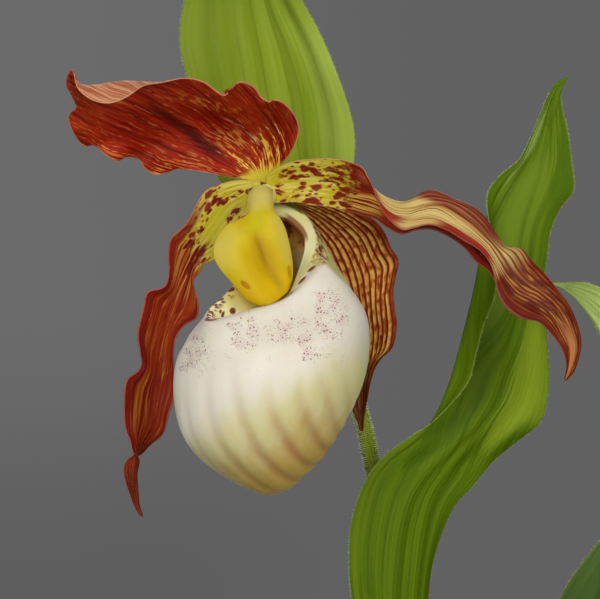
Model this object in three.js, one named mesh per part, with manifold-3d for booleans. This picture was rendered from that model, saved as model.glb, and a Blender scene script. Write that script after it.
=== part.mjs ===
// A potted slipper orchid: a clay pot with soil, a rhizome with roots, a flowering shoot with
// one large flower, and a second, leafy shoot.
// Millimetres, +Z up. The origin is the centre of the pot's foot. The flower faces -Y.
import * as THREE from "three";
import { mergeVertices } from "three/addons/utils/BufferGeometryUtils.js";
import Module from "manifold-3d";

const wasm = await Module();
wasm.setup();

// Driving sizes
const POT = { height: 130, foot: 54, top: 74, rim: 79, rimHeight: 24, wall: 5.5, floor: 8, sides: 32 };
const DRAIN = { radius: 5, ring: 26, count: 3 };
const SOIL = { level: 114, crown: 4, lump: 1.6, gap: 0.4, sides: 24 };
const FLOWER = [-39.5, -20, 460]; // the place where sepals, petals, lip and column meet
const GAP = 0.3; // clearance between pieces that touch
const PETAL_THICK = 0.7;
const LEAF_THICK = 0.8;
const STEM_RADIUS = 2.6;
const PLEATS = 5; // longitudinal folds across a leaf
const POUCH = { wall: 1.0, ribs: 22, ribDepth: 0.7, rows: 12 };

const COLOURS = {
  clay: 0xb5623c,
  soil: 0x4a3a2c,
  root: 0xa58a5c,
  stem: 0x6f8f2a,
  leaf: 0x5f8a25,
  bract: 0x8fa63c,
  sheath: 0x8a7a45,
  sepal: 0x7a1c0c,
  lip: 0xe9e2cf,
  column: 0xe6e08a,
  staminode: 0xe0be18,
};

const vec = (p) => new THREE.Vector3(...p);
const curveOf = (points) => new THREE.CatmullRomCurve3(points.map(vec), false, "centripetal");
const smooth = (a, b, x) => THREE.MathUtils.smoothstep(x, a, b);

// Solids and meshes

function solidOf(vertices, faces) {
  const make = (list) =>
    new wasm.Manifold(
      new wasm.Mesh({
        numProp: 3,
        vertProperties: new Float32Array(vertices.flatMap((p) => [p.x, p.y, p.z])),
        triVerts: new Uint32Array(list.flat()),
      }),
    );
  const solid = make(faces);
  return solid.volume() > 0 ? solid : make(faces.map(([a, b, c]) => [a, c, b]));
}

function solidOfGeometry(geometry) {
  const plain = geometry.clone();
  plain.deleteAttribute("normal");
  plain.deleteAttribute("uv");
  const merged = mergeVertices(plain, 1e-4);
  return new wasm.Manifold(
    new wasm.Mesh({
      numProp: 3,
      vertProperties: new Float32Array(merged.attributes.position.array),
      triVerts: new Uint32Array(merged.index.array),
    }),
  );
}

function largest(solid) {
  return solid.decompose().sort((a, b) => b.volume() - a.volume())[0];
}

function carve(solid, ...cutters) {
  return largest(cutters.reduce((left, cutter) => left.subtract(cutter), solid));
}

const root = new THREE.Group();

function add(name, colour, solid, roughness = 0.6) {
  const mesh = solid.getMesh();
  const geometry = new THREE.BufferGeometry();
  geometry.setAttribute("position", new THREE.BufferAttribute(new Float32Array(mesh.vertProperties), 3));
  geometry.setIndex(new THREE.BufferAttribute(new Uint32Array(mesh.triVerts), 1));
  geometry.computeVertexNormals();
  const material = new THREE.MeshStandardMaterial({ color: colour, roughness, metalness: 0 });
  const piece = new THREE.Mesh(geometry, material);
  piece.name = name;
  root.add(piece);
}

// A surface grid, its normals and a closed sheet around it

function normalsOf(grid) {
  const rows = grid.length;
  const columns = grid[0].length;
  return grid.map((row, j) =>
    row.map((_, i) => {
      const along = grid[Math.min(j + 1, rows - 1)][i].clone().sub(grid[Math.max(j - 1, 0)][i]);
      const across = row[Math.min(i + 1, columns - 1)].clone().sub(row[Math.max(i - 1, 0)]);
      return along.cross(across).normalize();
    }),
  );
}

function displaced(grid, amount) {
  const normals = normalsOf(grid);
  return grid.map((row, j) =>
    row.map((p, i) => {
      const lift = amount(j / (grid.length - 1), i / (row.length - 1));
      return p.clone().addScaledVector(normals[j][i], lift);
    }),
  );
}

// The grid between rails that run from the base to the tip, with relief(u, v) along the normal.
function railGrid(rails, rows, columns, relief = () => 0) {
  const curves = rails.map(curveOf);
  const grid = [];
  for (let j = 0; j <= rows; j++) {
    const section = new THREE.CatmullRomCurve3(
      curves.map((c) => c.getPointAt(j / rows)),
      false,
      "centripetal",
    );
    grid.push(Array.from({ length: columns + 1 }, (_, i) => section.getPoint(i / columns)));
  }
  return displaced(grid, relief);
}

// A closed sheet of the given thickness around a grid. grow widens it on every side.
function sheet(grid, thickness, grow = 0) {
  const rows = grid.length;
  const columns = grid[0].length;
  const normals = normalsOf(grid);
  const wide = grid.map((row, j) =>
    row.map((p, i) => {
      const q = p.clone();
      const inner = grid[Math.min(Math.max(j, 1), rows - 2)][Math.min(Math.max(i, 1), columns - 2)];
      const outward = p.clone().sub(inner);
      if (grow && outward.lengthSq() > 0) q.addScaledVector(outward.normalize(), grow);
      return q;
    }),
  );
  const half = thickness / 2 + grow;
  const vertices = [];
  for (const side of [1, -1])
    wide.forEach((row, j) => {
      row.forEach((p, i) => vertices.push(p.clone().addScaledVector(normals[j][i], side * half)));
    });
  const top = (j, i) => j * columns + i;
  const low = (j, i) => rows * columns + j * columns + i;
  const faces = [];
  for (let j = 0; j < rows - 1; j++)
    for (let i = 0; i < columns - 1; i++) {
      faces.push([top(j, i), top(j + 1, i), top(j + 1, i + 1)]);
      faces.push([top(j, i), top(j + 1, i + 1), top(j, i + 1)]);
      faces.push([low(j, i), low(j + 1, i + 1), low(j + 1, i)]);
      faces.push([low(j, i), low(j, i + 1), low(j + 1, i + 1)]);
    }
  const rim = [];
  for (let i = 0; i < columns - 1; i++) rim.push([0, i]);
  for (let j = 0; j < rows - 1; j++) rim.push([j, columns - 1]);
  for (let i = columns - 1; i > 0; i--) rim.push([rows - 1, i]);
  for (let j = rows - 1; j > 0; j--) rim.push([j, 0]);
  rim.forEach(([j, i], k) => {
    const [jn, inn] = rim[(k + 1) % rim.length];
    faces.push([top(j, i), top(jn, inn), low(jn, inn)], [top(j, i), low(jn, inn), low(j, i)]);
  });
  return solidOf(vertices, faces);
}

// A closed body through rings of points, with a pole at each end.
function loft(rings, startPole, endPole) {
  const n = rings[0].length;
  const vertices = [...rings.flat(), startPole, endPole];
  const first = rings.length * n;
  const last = first + 1;
  const faces = [];
  for (let k = 0; k < n; k++) {
    const m = (k + 1) % n;
    faces.push([first, m, k]);
    for (let j = 0; j < rings.length - 1; j++) {
      const a = j * n;
      const b = a + n;
      faces.push([a + k, a + m, b + m], [a + k, b + m, b + k]);
    }
    const end = (rings.length - 1) * n;
    faces.push([last, end + k, end + m]);
  }
  return solidOf(vertices, faces);
}

// A round body along a path. radius(u) is its radius from the start, 0, to the end, 1.
function tube(points, radius, sides, steps, grow = 0) {
  const path = curveOf(points);
  const frames = path.computeFrenetFrames(steps, false);
  const rings = frames.tangents.map((_, j) => {
    const centre = path.getPointAt(j / steps);
    const r = radius(j / steps) + grow;
    return Array.from({ length: sides }, (_, k) => {
      const angle = (2 * Math.PI * k) / sides;
      return centre
        .clone()
        .addScaledVector(frames.normals[j], r * Math.cos(angle))
        .addScaledVector(frames.binormals[j], r * Math.sin(angle));
    });
  });
  const tip = (u, j, way) => {
    const out = way * (radius(u) * 0.3 + grow);
    return path.getPointAt(u).addScaledVector(frames.tangents[j], out);
  };
  return loft(rings, tip(0, 0, -1), tip(1, steps, 1));
}

const inFlower = (points) => points.map(([x, y, z]) => [x + FLOWER[0], y + FLOWER[1], z + FLOWER[2]]);

// Flower, in millimetres from FLOWER: x right, y away from the viewer, z up

const OVARY = [[2.5, 6.5, -2], [6, 12, -5], [11, 18.5, -13], [14.5, 22.5, -22], [16, 23.5, -28]];
const STEM = [
  [16, 23.5, -28.6], [19, 24.5, -39], [22.5, 24, -50], [25.5, 23, -60], [28, 22, -71], [30.5, 21, -84],
  [32.5, 20.5, -99], [34, 20, -114], [35, 20, -129], [35.3, 20, -150], [35, 20, -200], [34.5, 20, -280],
  [34, 20, -355],
];
const COLUMN = [[1.2, 5.4, -2.4], [0, 1.6, -3], [-0.5, -2.6, -5.4], [0.2, -4.6, -8.8], [1.6, -6, -12.5]];

const STAMINODE = {
  left: [
    [-3.2, -4.2, -1.2], [-3.5, -4.8, -3.8], [-3.8, -5, -6.3], [-4.2, -5.4, -8.4], [-6.2, -5.8, -9],
    [-8.6, -6.4, -10], [-10.6, -7.2, -12.2], [-12, -8.4, -15.6], [-11.8, -9.4, -18.4],
    [-10.4, -10.6, -21], [-8, -12, -23.8], [-5.5, -13.4, -26.6], [-3.4, -14.8, -28.8], [-1, -15.8, -30],
    [1, -16.2, -30.4],
  ],
  crestLeft: [
    [-2, -4.8, -0.5], [-2.1, -6.4, -5], [-2.8, -7.8, -9], [-5.4, -9.6, -12.4], [-6.4, -11.4, -16.4],
    [-5.2, -13, -20.4], [-2.8, -14.6, -24.4], [-0.4, -16, -28.2], [2, -16.6, -30],
  ],
  groove: [
    [-0.5, -5.2, -0.2], [-0.7, -6.8, -5], [-1.3, -7.8, -9], [-1.6, -8.6, -12.4], [-0.4, -10.2, -16.4],
    [1.2, -12, -20.4], [2.9, -14, -24.4], [3.6, -15.8, -27.8], [3.6, -16.5, -29.2],
  ],
  crestRight: [
    [1.2, -5, -0.5], [1.2, -6.4, -5], [1.8, -8, -9], [2.8, -9.6, -12.8], [4.2, -11.2, -16.8],
    [5.2, -12.8, -20.8], [5.8, -14.2, -24.4], [5.6, -15.4, -27], [5, -16, -28],
  ],
  right: [
    [2.5, -4.2, -1.2], [2.6, -4.8, -3.8], [3, -5.2, -6.2], [4.2, -5.6, -8], [5.6, -6.4, -10.6],
    [6.6, -7.6, -14], [7.3, -9, -17.6], [7.6, -10.4, -20.8], [7.4, -12.2, -24], [6.6, -14.6, -26.4],
  ],
};

const DORSAL_SEPAL = [
  [
    [-2.2, 3.8, -0.4], [-3.2, 3.5, 1.4], [-5.5, 3.5, 1.8], [-10.5, 3.5, 2.5], [-15.5, 3, 3.5],
    [-20.5, 2, 4.1], [-24.2, -0.5, 3.1], [-27, -2, 2.5], [-29.4, -1, 4], [-30.7, -1.5, 6.3],
    [-33.5, -3.5, 6.8], [-36.8, -7, 6.1], [-39.3, -8, 7.6], [-41.4, -8.5, 9.5], [-43.9, -12, 9.3],
    [-46.5, -14, 11.9], [-48, -16.5, 16.8], [-46, -18, 19], [-47, -20, 21.8], [-47.9, -23, 25],
    [-47.2, -26.5, 27.7],
  ],
  [
    [-1.2, 4.5, -0.6], [-1.8, 4.2, 1.8], [-5, 4.5, 5], [-12, 4.5, 9], [-20, 2.5, 11], [-28, -2, 12],
    [-36, -8, 13], [-42, -14, 16], [-46, -19.5, 20], [-47.2, -24, 24.8], [-47.4, -26.5, 27.8],
  ],
  [
    [0, 4.7, -0.5], [-0.2, 4.3, 2.4], [-1.8, 4.5, 6.8], [-5.5, 4, 11.2], [-11.8, 2.5, 15.2],
    [-19.2, -1, 17.2], [-28, -7, 18.2], [-36, -13, 19.2], [-43, -19, 21.8], [-46.3, -23.5, 24.6],
    [-47.3, -26.5, 27.9],
  ],
  [
    [1.1, 4.3, -0.1], [1.9, 3.3, 3], [4, 2, 8.5], [3.5, -1, 14], [-2, -4, 18], [-9, -6.5, 19.5],
    [-17, -9, 22], [-24, -13, 24.2], [-30, -17, 25.2], [-36, -21, 25.2], [-41, -24, 24.4],
    [-44.8, -26, 24.4], [-47.2, -26.5, 28],
  ],
  [
    [2, 3.8, 0.6], [3, 2.6, 3.4], [5.2, 0.5, 5.5], [7.8, -2.5, 9.2], [9, -5.5, 13.8], [7.8, -8.5, 18],
    [5.5, -11, 20.8], [3.5, -12.5, 21.5], [2, -11, 20.8], [0, -11.5, 21.5], [-2, -14, 24],
    [-5.5, -16.5, 25.5], [-7.2, -15, 24.5], [-9, -12.5, 22.5], [-11, -13.5, 23.2], [-14.2, -15.5, 25],
    [-19.2, -16.5, 26.2], [-24.2, -18.5, 25.8], [-28.5, -22, 24.5], [-33, -26, 21.2], [-37.5, -28.5, 20],
    [-41.8, -29, 21], [-45.5, -28.5, 23.5], [-47.1, -26.6, 28],
  ],
];

const LEFT_PETAL = [
  [
    [-0.6, 3.6, 1.4], [-5, 3.6, 1.5], [-10, 3.5, 0.6], [-14, 3.5, -1.2], [-16.4, 3.5, -4.4],
    [-18.3, 3.5, -7.8], [-20.5, 3, -10.7], [-22.8, 2.5, -13.1], [-23.5, 3.5, -16.8], [-23.6, 5, -21.1],
    [-24.9, 4.5, -25.1], [-28.8, 3, -26.7], [-29.6, 4, -30.4], [-31.6, 6, -37.2], [-30.9, 8, -41.8],
    [-30.4, 9, -44.8], [-31.3, 8, -46.7], [-34.2, 6, -48.9], [-35.1, 6.5, -55], [-34.4, 6, -60.4],
    [-32.9, 5, -64], [-32.5, 4, -66.8], [-31, 6, -69.2], [-31.4, 8, -73.2], [-31.2, 9, -78.8],
    [-30.1, 9, -83.2],
  ],
  [
    [-0.2, 4.2, -1], [-4.6, 4.6, -2.8], [-8.5, 5, -5.4], [-12.5, 5.5, -10.8], [-16, 6, -16.2],
    [-19.2, 7, -21.8], [-22.5, 8, -28.8], [-24.8, 9.5, -36.2], [-26, 10.5, -43.8], [-27.5, 10.5, -51.2],
    [-29, 9.5, -58.8], [-30.8, 8, -63.8], [-31.2, 7.5, -67], [-32.2, 7.5, -70.8], [-32.4, 8, -75],
    [-31.4, 9, -80], [-30.3, 9, -83.2],
  ],
  [
    [0.2, 3.8, -3.4], [-3, 4.2, -7.6], [-5.5, 4.5, -11.5], [-9, 4.5, -16.5], [-12, 4.5, -18.8],
    [-14.8, 5, -19.8], [-16, 5.5, -22], [-17.3, 6, -24], [-16.5, 5.5, -26.9], [-15.8, 5, -29.8],
    [-16.5, 6, -33.2], [-19.8, 8, -35.4], [-21.6, 9, -38.2], [-22.2, 9.5, -41.8], [-22.2, 9.5, -47.5],
    [-22.2, 9.5, -53.8], [-23.7, 10, -58.5], [-25, 10.5, -62.7], [-28.2, 10.5, -65.5],
    [-30.7, 10.5, -67.5], [-33.8, 9, -68.5], [-34.9, 7.5, -71.5], [-34.2, 7.5, -75.6], [-32, 8.5, -80.6],
    [-30.2, 9, -83.1],
  ],
];

const RIGHT_PETAL = [
  [
    [0.8, 4, -4], [4, 3, -4.4], [8, 1.2, -4.2], [12, -1, -5], [17.6, -3, -5.6], [22, -5, -6.8],
    [25.4, -8, -7.8], [28.4, -12, -8.4], [31, -16, -10.7], [34.7, -18, -12.5], [38.2, -19, -11.5],
    [41.7, -19, -11.2], [46.7, -19, -13.3], [50.5, -19.6, -16.1], [53.2, -20, -19.4], [55.8, -20, -21.2],
    [58.2, -19.6, -24.6], [61.2, -18.4, -28.2], [65.4, -18, -31], [69.8, -18, -34], [73.2, -18, -38.6],
    [75.6, -18.4, -44.2], [75.2, -19, -48.8],
  ],
  [
    [0.9, 4.2, -2], [4, 3.2, -1.8], [8, 1.4, -1.6], [12.2, -0.8, -2], [17.8, -3, -2.6], [22.2, -6, -3.6],
    [25.8, -10, -4.6], [28.2, -14, -5.4], [31.4, -17.6, -6.8], [34.8, -19, -8.4], [37.8, -19.6, -7.6],
    [41.2, -20, -6.6], [45, -20, -7], [49.2, -20, -10.4], [52.6, -20.4, -13.4], [55.6, -20.4, -16.8],
    [59, -20, -20.8], [62.4, -19.6, -22.8], [66, -19, -24.8], [69.8, -19, -28], [73.2, -19, -31.8],
    [76, -19, -36.2], [76.8, -19, -41.2], [76, -19, -45.6], [75.2, -19, -48.8],
  ],
  [
    [1, 4.2, -0.4], [4, 3.2, 0.5], [8, 1.6, 1], [12.6, -0.4, 0.8], [18, -3, 0.6], [22.4, -7, -0.6],
    [26, -12, -1], [27.9, -16, -1.5], [30.8, -19, -3.4], [34.9, -20.4, -4.6], [37.3, -21, -4],
    [40.3, -21.6, -2.1], [42.6, -22, -1.8], [47.7, -22.4, -3.8], [52.6, -22.4, -6], [55.4, -22.4, -8.6],
    [57.8, -22.4, -12.2], [60.8, -22, -15.8], [64.2, -22, -16.2], [67.2, -21.6, -19.6],
    [69.8, -21, -22.2], [72.6, -21, -25.6], [75.6, -20.4, -29.4], [78, -20.4, -34.6], [79, -20, -39.6],
    [77.4, -19.6, -46], [75.2, -19, -48.8],
  ],
  [
    [1, 3.9, 1], [4, 2.6, 2.4], [7.8, 0.7, 3.4], [12.2, -1.6, 3.8], [17.8, -4.4, 3.6], [22.2, -8.4, 2.8],
    [25.4, -13, 1.4], [27.4, -17.6, -1], [29.6, -21.6, -5], [32.8, -23.6, -7.4], [36.2, -24.4, -7.8],
    [39.4, -25, -6.8], [43.2, -25.6, -6.4], [48, -26, -9], [52.4, -26, -12], [56, -26, -15.4],
    [58.6, -25.6, -19.4], [61, -25, -23.2], [64, -24.4, -26.2], [67.8, -24, -28.2], [71.4, -23.6, -31.2],
    [74.4, -22.4, -35.4], [76.4, -21, -40.4], [76.2, -20, -45], [75.2, -19, -48.8],
  ],
  [
    [1, 3.4, 2.2], [3.4, 1.9, 4.2], [7, -0.4, 5.8], [12, -3, 6.6], [17.4, -6, 6.6], [22, -9.6, 5.6],
    [25.2, -13.6, 4.2], [26.8, -18, 1], [28.4, -22, -3.4], [30.8, -24, -8], [34.8, -25, -11.4],
    [37.6, -25.6, -11], [41.4, -26, -10.2], [45.6, -26.4, -11.4], [49.8, -26.4, -14], [54, -26.4, -16.6],
    [56.4, -26, -19.6], [57.6, -25.6, -23], [58.2, -25, -26.4], [60.2, -24.4, -30.4], [64, -24, -33.2],
    [68.4, -23.6, -34.2], [71.6, -22.4, -37.2], [74.4, -21.6, -41.2], [75.6, -20.4, -45],
    [75.2, -19, -48.8],
  ],
];

const SYNSEPAL = [
  [
    [1.2, 9.4, -4.8], [6, 12, -13.8], [10, 13.5, -23.8], [13.5, 14, -33.8], [17.5, 14, -43.8],
    [21.5, 13.5, -53.2], [23.8, 13, -58.8], [24.6, 12.5, -61.5],
  ],
  [
    [2.4, 9.6, -3.4], [11.4, 12, -7.2], [18.2, 14, -13.8], [22, 15.5, -21.2], [24, 16, -30],
    [25, 16, -40], [25.2, 15, -50], [25.2, 13.5, -57.5], [25, 12.5, -61.8],
  ],
  [
    [3.4, 9.2, -2.2], [13.6, 8, -3.4], [23.2, 8, -5.8], [28.9, 8.5, -8.8], [31.1, 9, -11.9],
    [32.4, 9, -15.5], [34.1, 8.5, -18.8], [33.5, 9, -22.5], [33, 10, -26.8], [33.6, 9.5, -30.8],
    [34.2, 9, -34.5], [33.7, 9.5, -38.4], [32.5, 10.5, -41.2], [30.3, 11.5, -42.8], [28.3, 12, -45.3],
    [27.1, 12.5, -49.2], [26.6, 12.5, -53.8], [26, 12.5, -58.2], [25.5, 12.5, -61.5],
  ],
];

const BRACT = [
  [
    [13.3, 24.3, -28], [7, 26, -19.5], [-1.8, 25, -10], [-8.5, 23, -1.2], [-12, 21.5, 3.8],
    [-15.5, 19.5, 11.2], [-17.8, 17.5, 19.2], [-18.8, 15.5, 26.8], [-20.5, 14, 33.8], [-20.5, 13, 40],
    [-19.4, 12, 46.2], [-16.5, 10, 56.2], [-12.5, 8.5, 65], [-6.2, 7, 75],
  ],
  [
    [13.8, 25.7, -28], [8.5, 28, -18], [3.5, 27.5, -7], [-1, 26, 4], [-4.5, 24, 14], [-7, 21, 24],
    [-8.8, 18, 35], [-9.8, 15, 47], [-9, 11, 60], [-6, 7.1, 75],
  ],
  [
    [16, 26.4, -28], [12.5, 28.6, -17], [8.2, 28, -4], [5.2, 25.5, 8.8], [3.2, 22, 21.2],
    [0.8, 18.5, 33.8], [-2, 15.5, 46.2], [-4, 11.5, 60], [-5.8, 7.2, 75],
  ],
  [
    [18.2, 25.7, -28], [16.5, 27.5, -17], [15.5, 25.5, -4], [14.2, 22.5, 8.8], [13, 19, 21.2],
    [9.5, 16, 33.8], [4, 14, 46.2], [-0.5, 10.5, 60], [-5.6, 7.1, 75],
  ],
  [
    [18.7, 24.3, -28], [18.6, 24.8, -18.2], [20.5, 22.5, -9.2], [22, 20, -1.2], [22.8, 18, 6.2],
    [22.8, 16, 13.8], [21.6, 14.5, 20], [19.5, 13, 26.8], [16.3, 12, 34.2], [12.7, 11, 40.8],
    [9.5, 10, 46.2], [5.5, 9, 55], [0.8, 8, 65], [-5.4, 7, 75],
  ],
];

const TOP_LEAF = [
  [
    [31.8, 21.5, -139], [30, 15, -130], [26, 8, -117.5], [22.8, 4, -105], [21.9, 2, -95],
    [22.4, 1, -84.9], [24.6, 1, -77.2], [27.6, 1, -71.6], [32, 1, -67], [37.2, 2, -63.5],
    [42.5, 2.5, -60], [47.5, 2.5, -54.8], [51.8, 2.5, -49.2], [54, 2.5, -41.8], [56.2, 3, -34.5],
    [58.5, 3.5, -28.8], [59.2, 4.5, -21.2], [58.5, 6, -15], [57, 8, -8.2], [57, 10, -1.8],
    [60.3, 12, 2.7], [65, 13.5, 6.4], [67.5, 14.5, 11.4], [69.8, 15.5, 17.2], [72.3, 16.5, 23.1],
    [74.6, 17, 26.4], [76.7, 17, 27.6],
  ],
  [
    [32, 18, -139], [30.5, 12, -129], [28, 7, -117], [26, 4, -104], [25.5, 2.5, -94], [26.5, 2, -84],
    [29, 2.2, -75], [33, 2.8, -69.5], [38.8, 4, -65], [42.2, 5.5, -61], [45, 6.5, -55.8],
    [47.8, 7.5, -48], [50.8, 8.5, -37.5], [53.4, 9.5, -27], [55, 10.5, -18.5], [56.5, 11.5, -10],
    [59.5, 12.5, -3.5], [63, 14, 2], [66.5, 14.5, 7.5], [69.5, 15.5, 14], [72, 16.5, 20], [74.5, 17, 25],
    [76.8, 17.1, 27.6],
  ],
  [
    [35, 16.2, -139], [34.2, 13, -129], [33.2, 9, -117.5], [32.8, 6.5, -105], [33.5, 5.5, -95],
    [35, 5, -85], [37.5, 5.5, -77.5], [42, 6.5, -71.2], [47.5, 8, -65.8], [53, 10, -60], [57, 12, -53.8],
    [59.5, 13, -45], [61.2, 14, -36.2], [62.5, 14.5, -27.5], [63.5, 14.5, -18.8], [65, 14.5, -10],
    [67.2, 15, -2.5], [69.8, 15.5, 5], [71.8, 16.5, 13.8], [73.2, 17, 21.2], [76.9, 17.2, 27.6],
  ],
  [
    [37.6, 17.4, -139], [37, 15.5, -129], [37.8, 12.5, -117.5], [38.5, 10, -105], [39.5, 9, -95],
    [41, 9, -85], [43.5, 9.5, -77.5], [48, 10.5, -71.2], [53.5, 12, -65.8], [59, 14, -60],
    [63.5, 16.5, -53.8], [66, 18, -45], [66.5, 18.5, -36.2], [66.5, 18, -27.5], [67, 17, -18.8],
    [68.5, 16.2, -10], [71.5, 15.8, -2.5], [74, 15.8, 5], [74.2, 16.2, 13.8], [74.2, 16.8, 21.2],
    [77, 17.1, 27.6],
  ],
  [
    [38.4, 20.5, -139], [39.2, 19.5, -130], [41, 17, -117.5], [42, 14.5, -105], [43, 13.5, -96.2],
    [45.5, 13.5, -87.5], [48.9, 13.5, -80.4], [53.5, 14.5, -75.5], [58.8, 16.5, -69.4],
    [64.7, 18.5, -64.5], [70.6, 21, -59.3], [72.6, 23, -51.5], [72.8, 24, -42.5], [72.2, 24, -33.8],
    [71.2, 21.5, -25], [72.2, 19, -17.2], [73, 17.5, -11.2], [75.6, 16.5, -5.4], [78.7, 15.5, -0.9],
    [78.2, 15.5, 6.2], [77.2, 15.8, 13.9], [75.7, 16.2, 20.5], [75.4, 16.8, 24], [77.1, 17, 27.6],
  ],
];

// Lip: the mouth's margin, its crest, valley, brow and shoulder, ten places each from the front round
// the right, then oval sections down to the toe.
const LIP = {
  margin: [
    [-2.6, -19, -35], [4.4, -17.5, -31.2], [7.8, -12, -24.8], [10.6, -4.4, -14.4], [8, 1.6, -10],
    [3.4, 4, -7.4], [0.6, -2, -20], [0.4, -9.6, -33], [-4.6, -14.6, -37], [-6.4, -18, -37.6],
  ],
  crest: [
    [-3, -24, -31.2], [5, -22, -28.6], [9.6, -15.5, -22.6], [13.6, -4.2, -13.8], [10.2, 3.2, -7],
    [2.8, 6.4, -4.6], [-1.6, 3, -17.5], [-8.8, -4.2, -27.2], [-12.8, -12.5, -31], [-12, -20.3, -33.4],
  ],
  valley: [
    [-3, -25.9, -31.3], [5.9, -24.2, -28.2], [12.4, -15.4, -21], [15.5, -3.2, -16.1], [12, 4.6, -8.6],
    [3.9, 7.9, -6.2], [-1.9, 4.4, -18.6], [-9.8, -3.4, -27.9], [-13.9, -12.8, -31.9], [-13, -21.8, -33.9],
  ],
  brow: [
    [-2.9, -27.3, -32], [6.8, -26, -28.4], [14.6, -18.8, -21.2], [17, -6, -18.8], [13.2, 4.2, -10.8],
    [5, 8.4, -8.4], [-2, 5.4, -20], [-10.6, -2.5, -29], [-14.6, -13, -33.2], [-13.6, -23, -35],
  ],
  shoulder: [
    [-2.6, -30, -36.5], [9.6, -27.8, -32], [19.6, -19.4, -25.4], [22, -9, -25.4], [16, 4.5, -19.8],
    [8, 9, -17], [-3.6, 7, -27], [-13.8, -2.6, -34.5], [-18.4, -15, -38.2], [-13.4, -26.2, -39],
  ],
  ovals: [
    { centre: [2.6, -12.5, -38.2], halfWidth: 24.2, halfDepth: 21.5, roll: 12, nod: 9 },
    { centre: [2.1, -13.5, -49.5], halfWidth: 24.3, halfDepth: 21.8, roll: 8.5, nod: 5 },
    { centre: [0.8, -15, -61.3], halfWidth: 20.2, halfDepth: 17.5, roll: 6, nod: 3 },
    { centre: [1.2, -15.5, -70.6], halfWidth: 12.4, halfDepth: 10.5, roll: 4, nod: 2 },
  ],
  toe: [3, -15.5, -77.2],
};

// Uppermost leaf of the second shoot, in millimetres from the pot's foot
const SHOOT_TOP_LEAF = [
  [
    [58.3, 27.5, 328], [57, 22, 343], [54, 17.5, 358], [51.8, 15.5, 375], [50.4, 14.5, 392],
    [50, 14, 406], [49.2, 14.5, 416], [46, 15.5, 422.6], [44.4, 16, 426], [41.6, 17, 430.2],
    [38.2, 18.5, 433.8], [34.6, 20, 435.4],
  ],
  [
    [58.8, 23.8, 328], [59, 18.5, 344], [58, 14.5, 360], [57, 12.5, 377], [56, 12, 394],
    [54.6, 12, 407.5], [51.4, 12.8, 417.6], [48.4, 14.2, 425], [45, 15.6, 429], [41, 17, 432.4],
    [37.8, 18.6, 434.4], [34.7, 20, 435.5],
  ],
  [
    [61.2, 22.6, 328], [62.4, 18, 345], [63.2, 14.8, 362], [63.2, 13, 380], [61.6, 12.6, 396],
    [58.6, 12.8, 410], [54, 13.5, 420], [49.6, 14.8, 427.4], [44.6, 16.6, 431.6], [39.6, 18.4, 434.2],
    [34.8, 20, 435.5],
  ],
  [
    [63.6, 23.8, 328], [66.4, 20, 345], [69.2, 17.2, 362], [70.4, 15.4, 380], [69.2, 14.8, 397],
    [65.4, 14.6, 411.4], [59.6, 14.8, 422.6], [52.8, 15.6, 429.8], [46.4, 16.8, 433], [40.6, 18.4, 435],
    [34.9, 20, 435.6],
  ],
  [
    [64.1, 27.5, 328], [69.4, 25, 345], [74, 22, 362], [76.4, 19.5, 380], [75.6, 18, 397],
    [71.6, 17, 412], [65, 16.4, 424], [57, 16.2, 431.6], [51, 16.6, 433.8], [46.9, 17, 434.4],
    [43.5, 17.6, 435.6], [38.9, 19, 435.8], [35, 20, 435.6],
  ],
];

const railed = (rails, rows, columns, relief) => railGrid(rails.map(inFlower), rows, columns, relief);

// Pleats across a leaf, fading towards its base and tip, with a waved margin.
const pleats = (depth, wave = 0, waves = 3) => (u, v) => {
  const fold = smooth(0.05, 0.3, u) * (1 - smooth(0.8, 1, u)) * Math.cos(2 * Math.PI * PLEATS * v);
  const ripple = Math.sin(2 * Math.PI * waves * u + (v > 0.5 ? 1.3 : 0));
  return depth * fold + wave * smooth(0.2, 0.5, u) * Math.abs(2 * v - 1) ** 3 * ripple;
};

// Lip surface: columns run round the mouth from the front, and each goes from the mouth's margin to the toe

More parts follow.
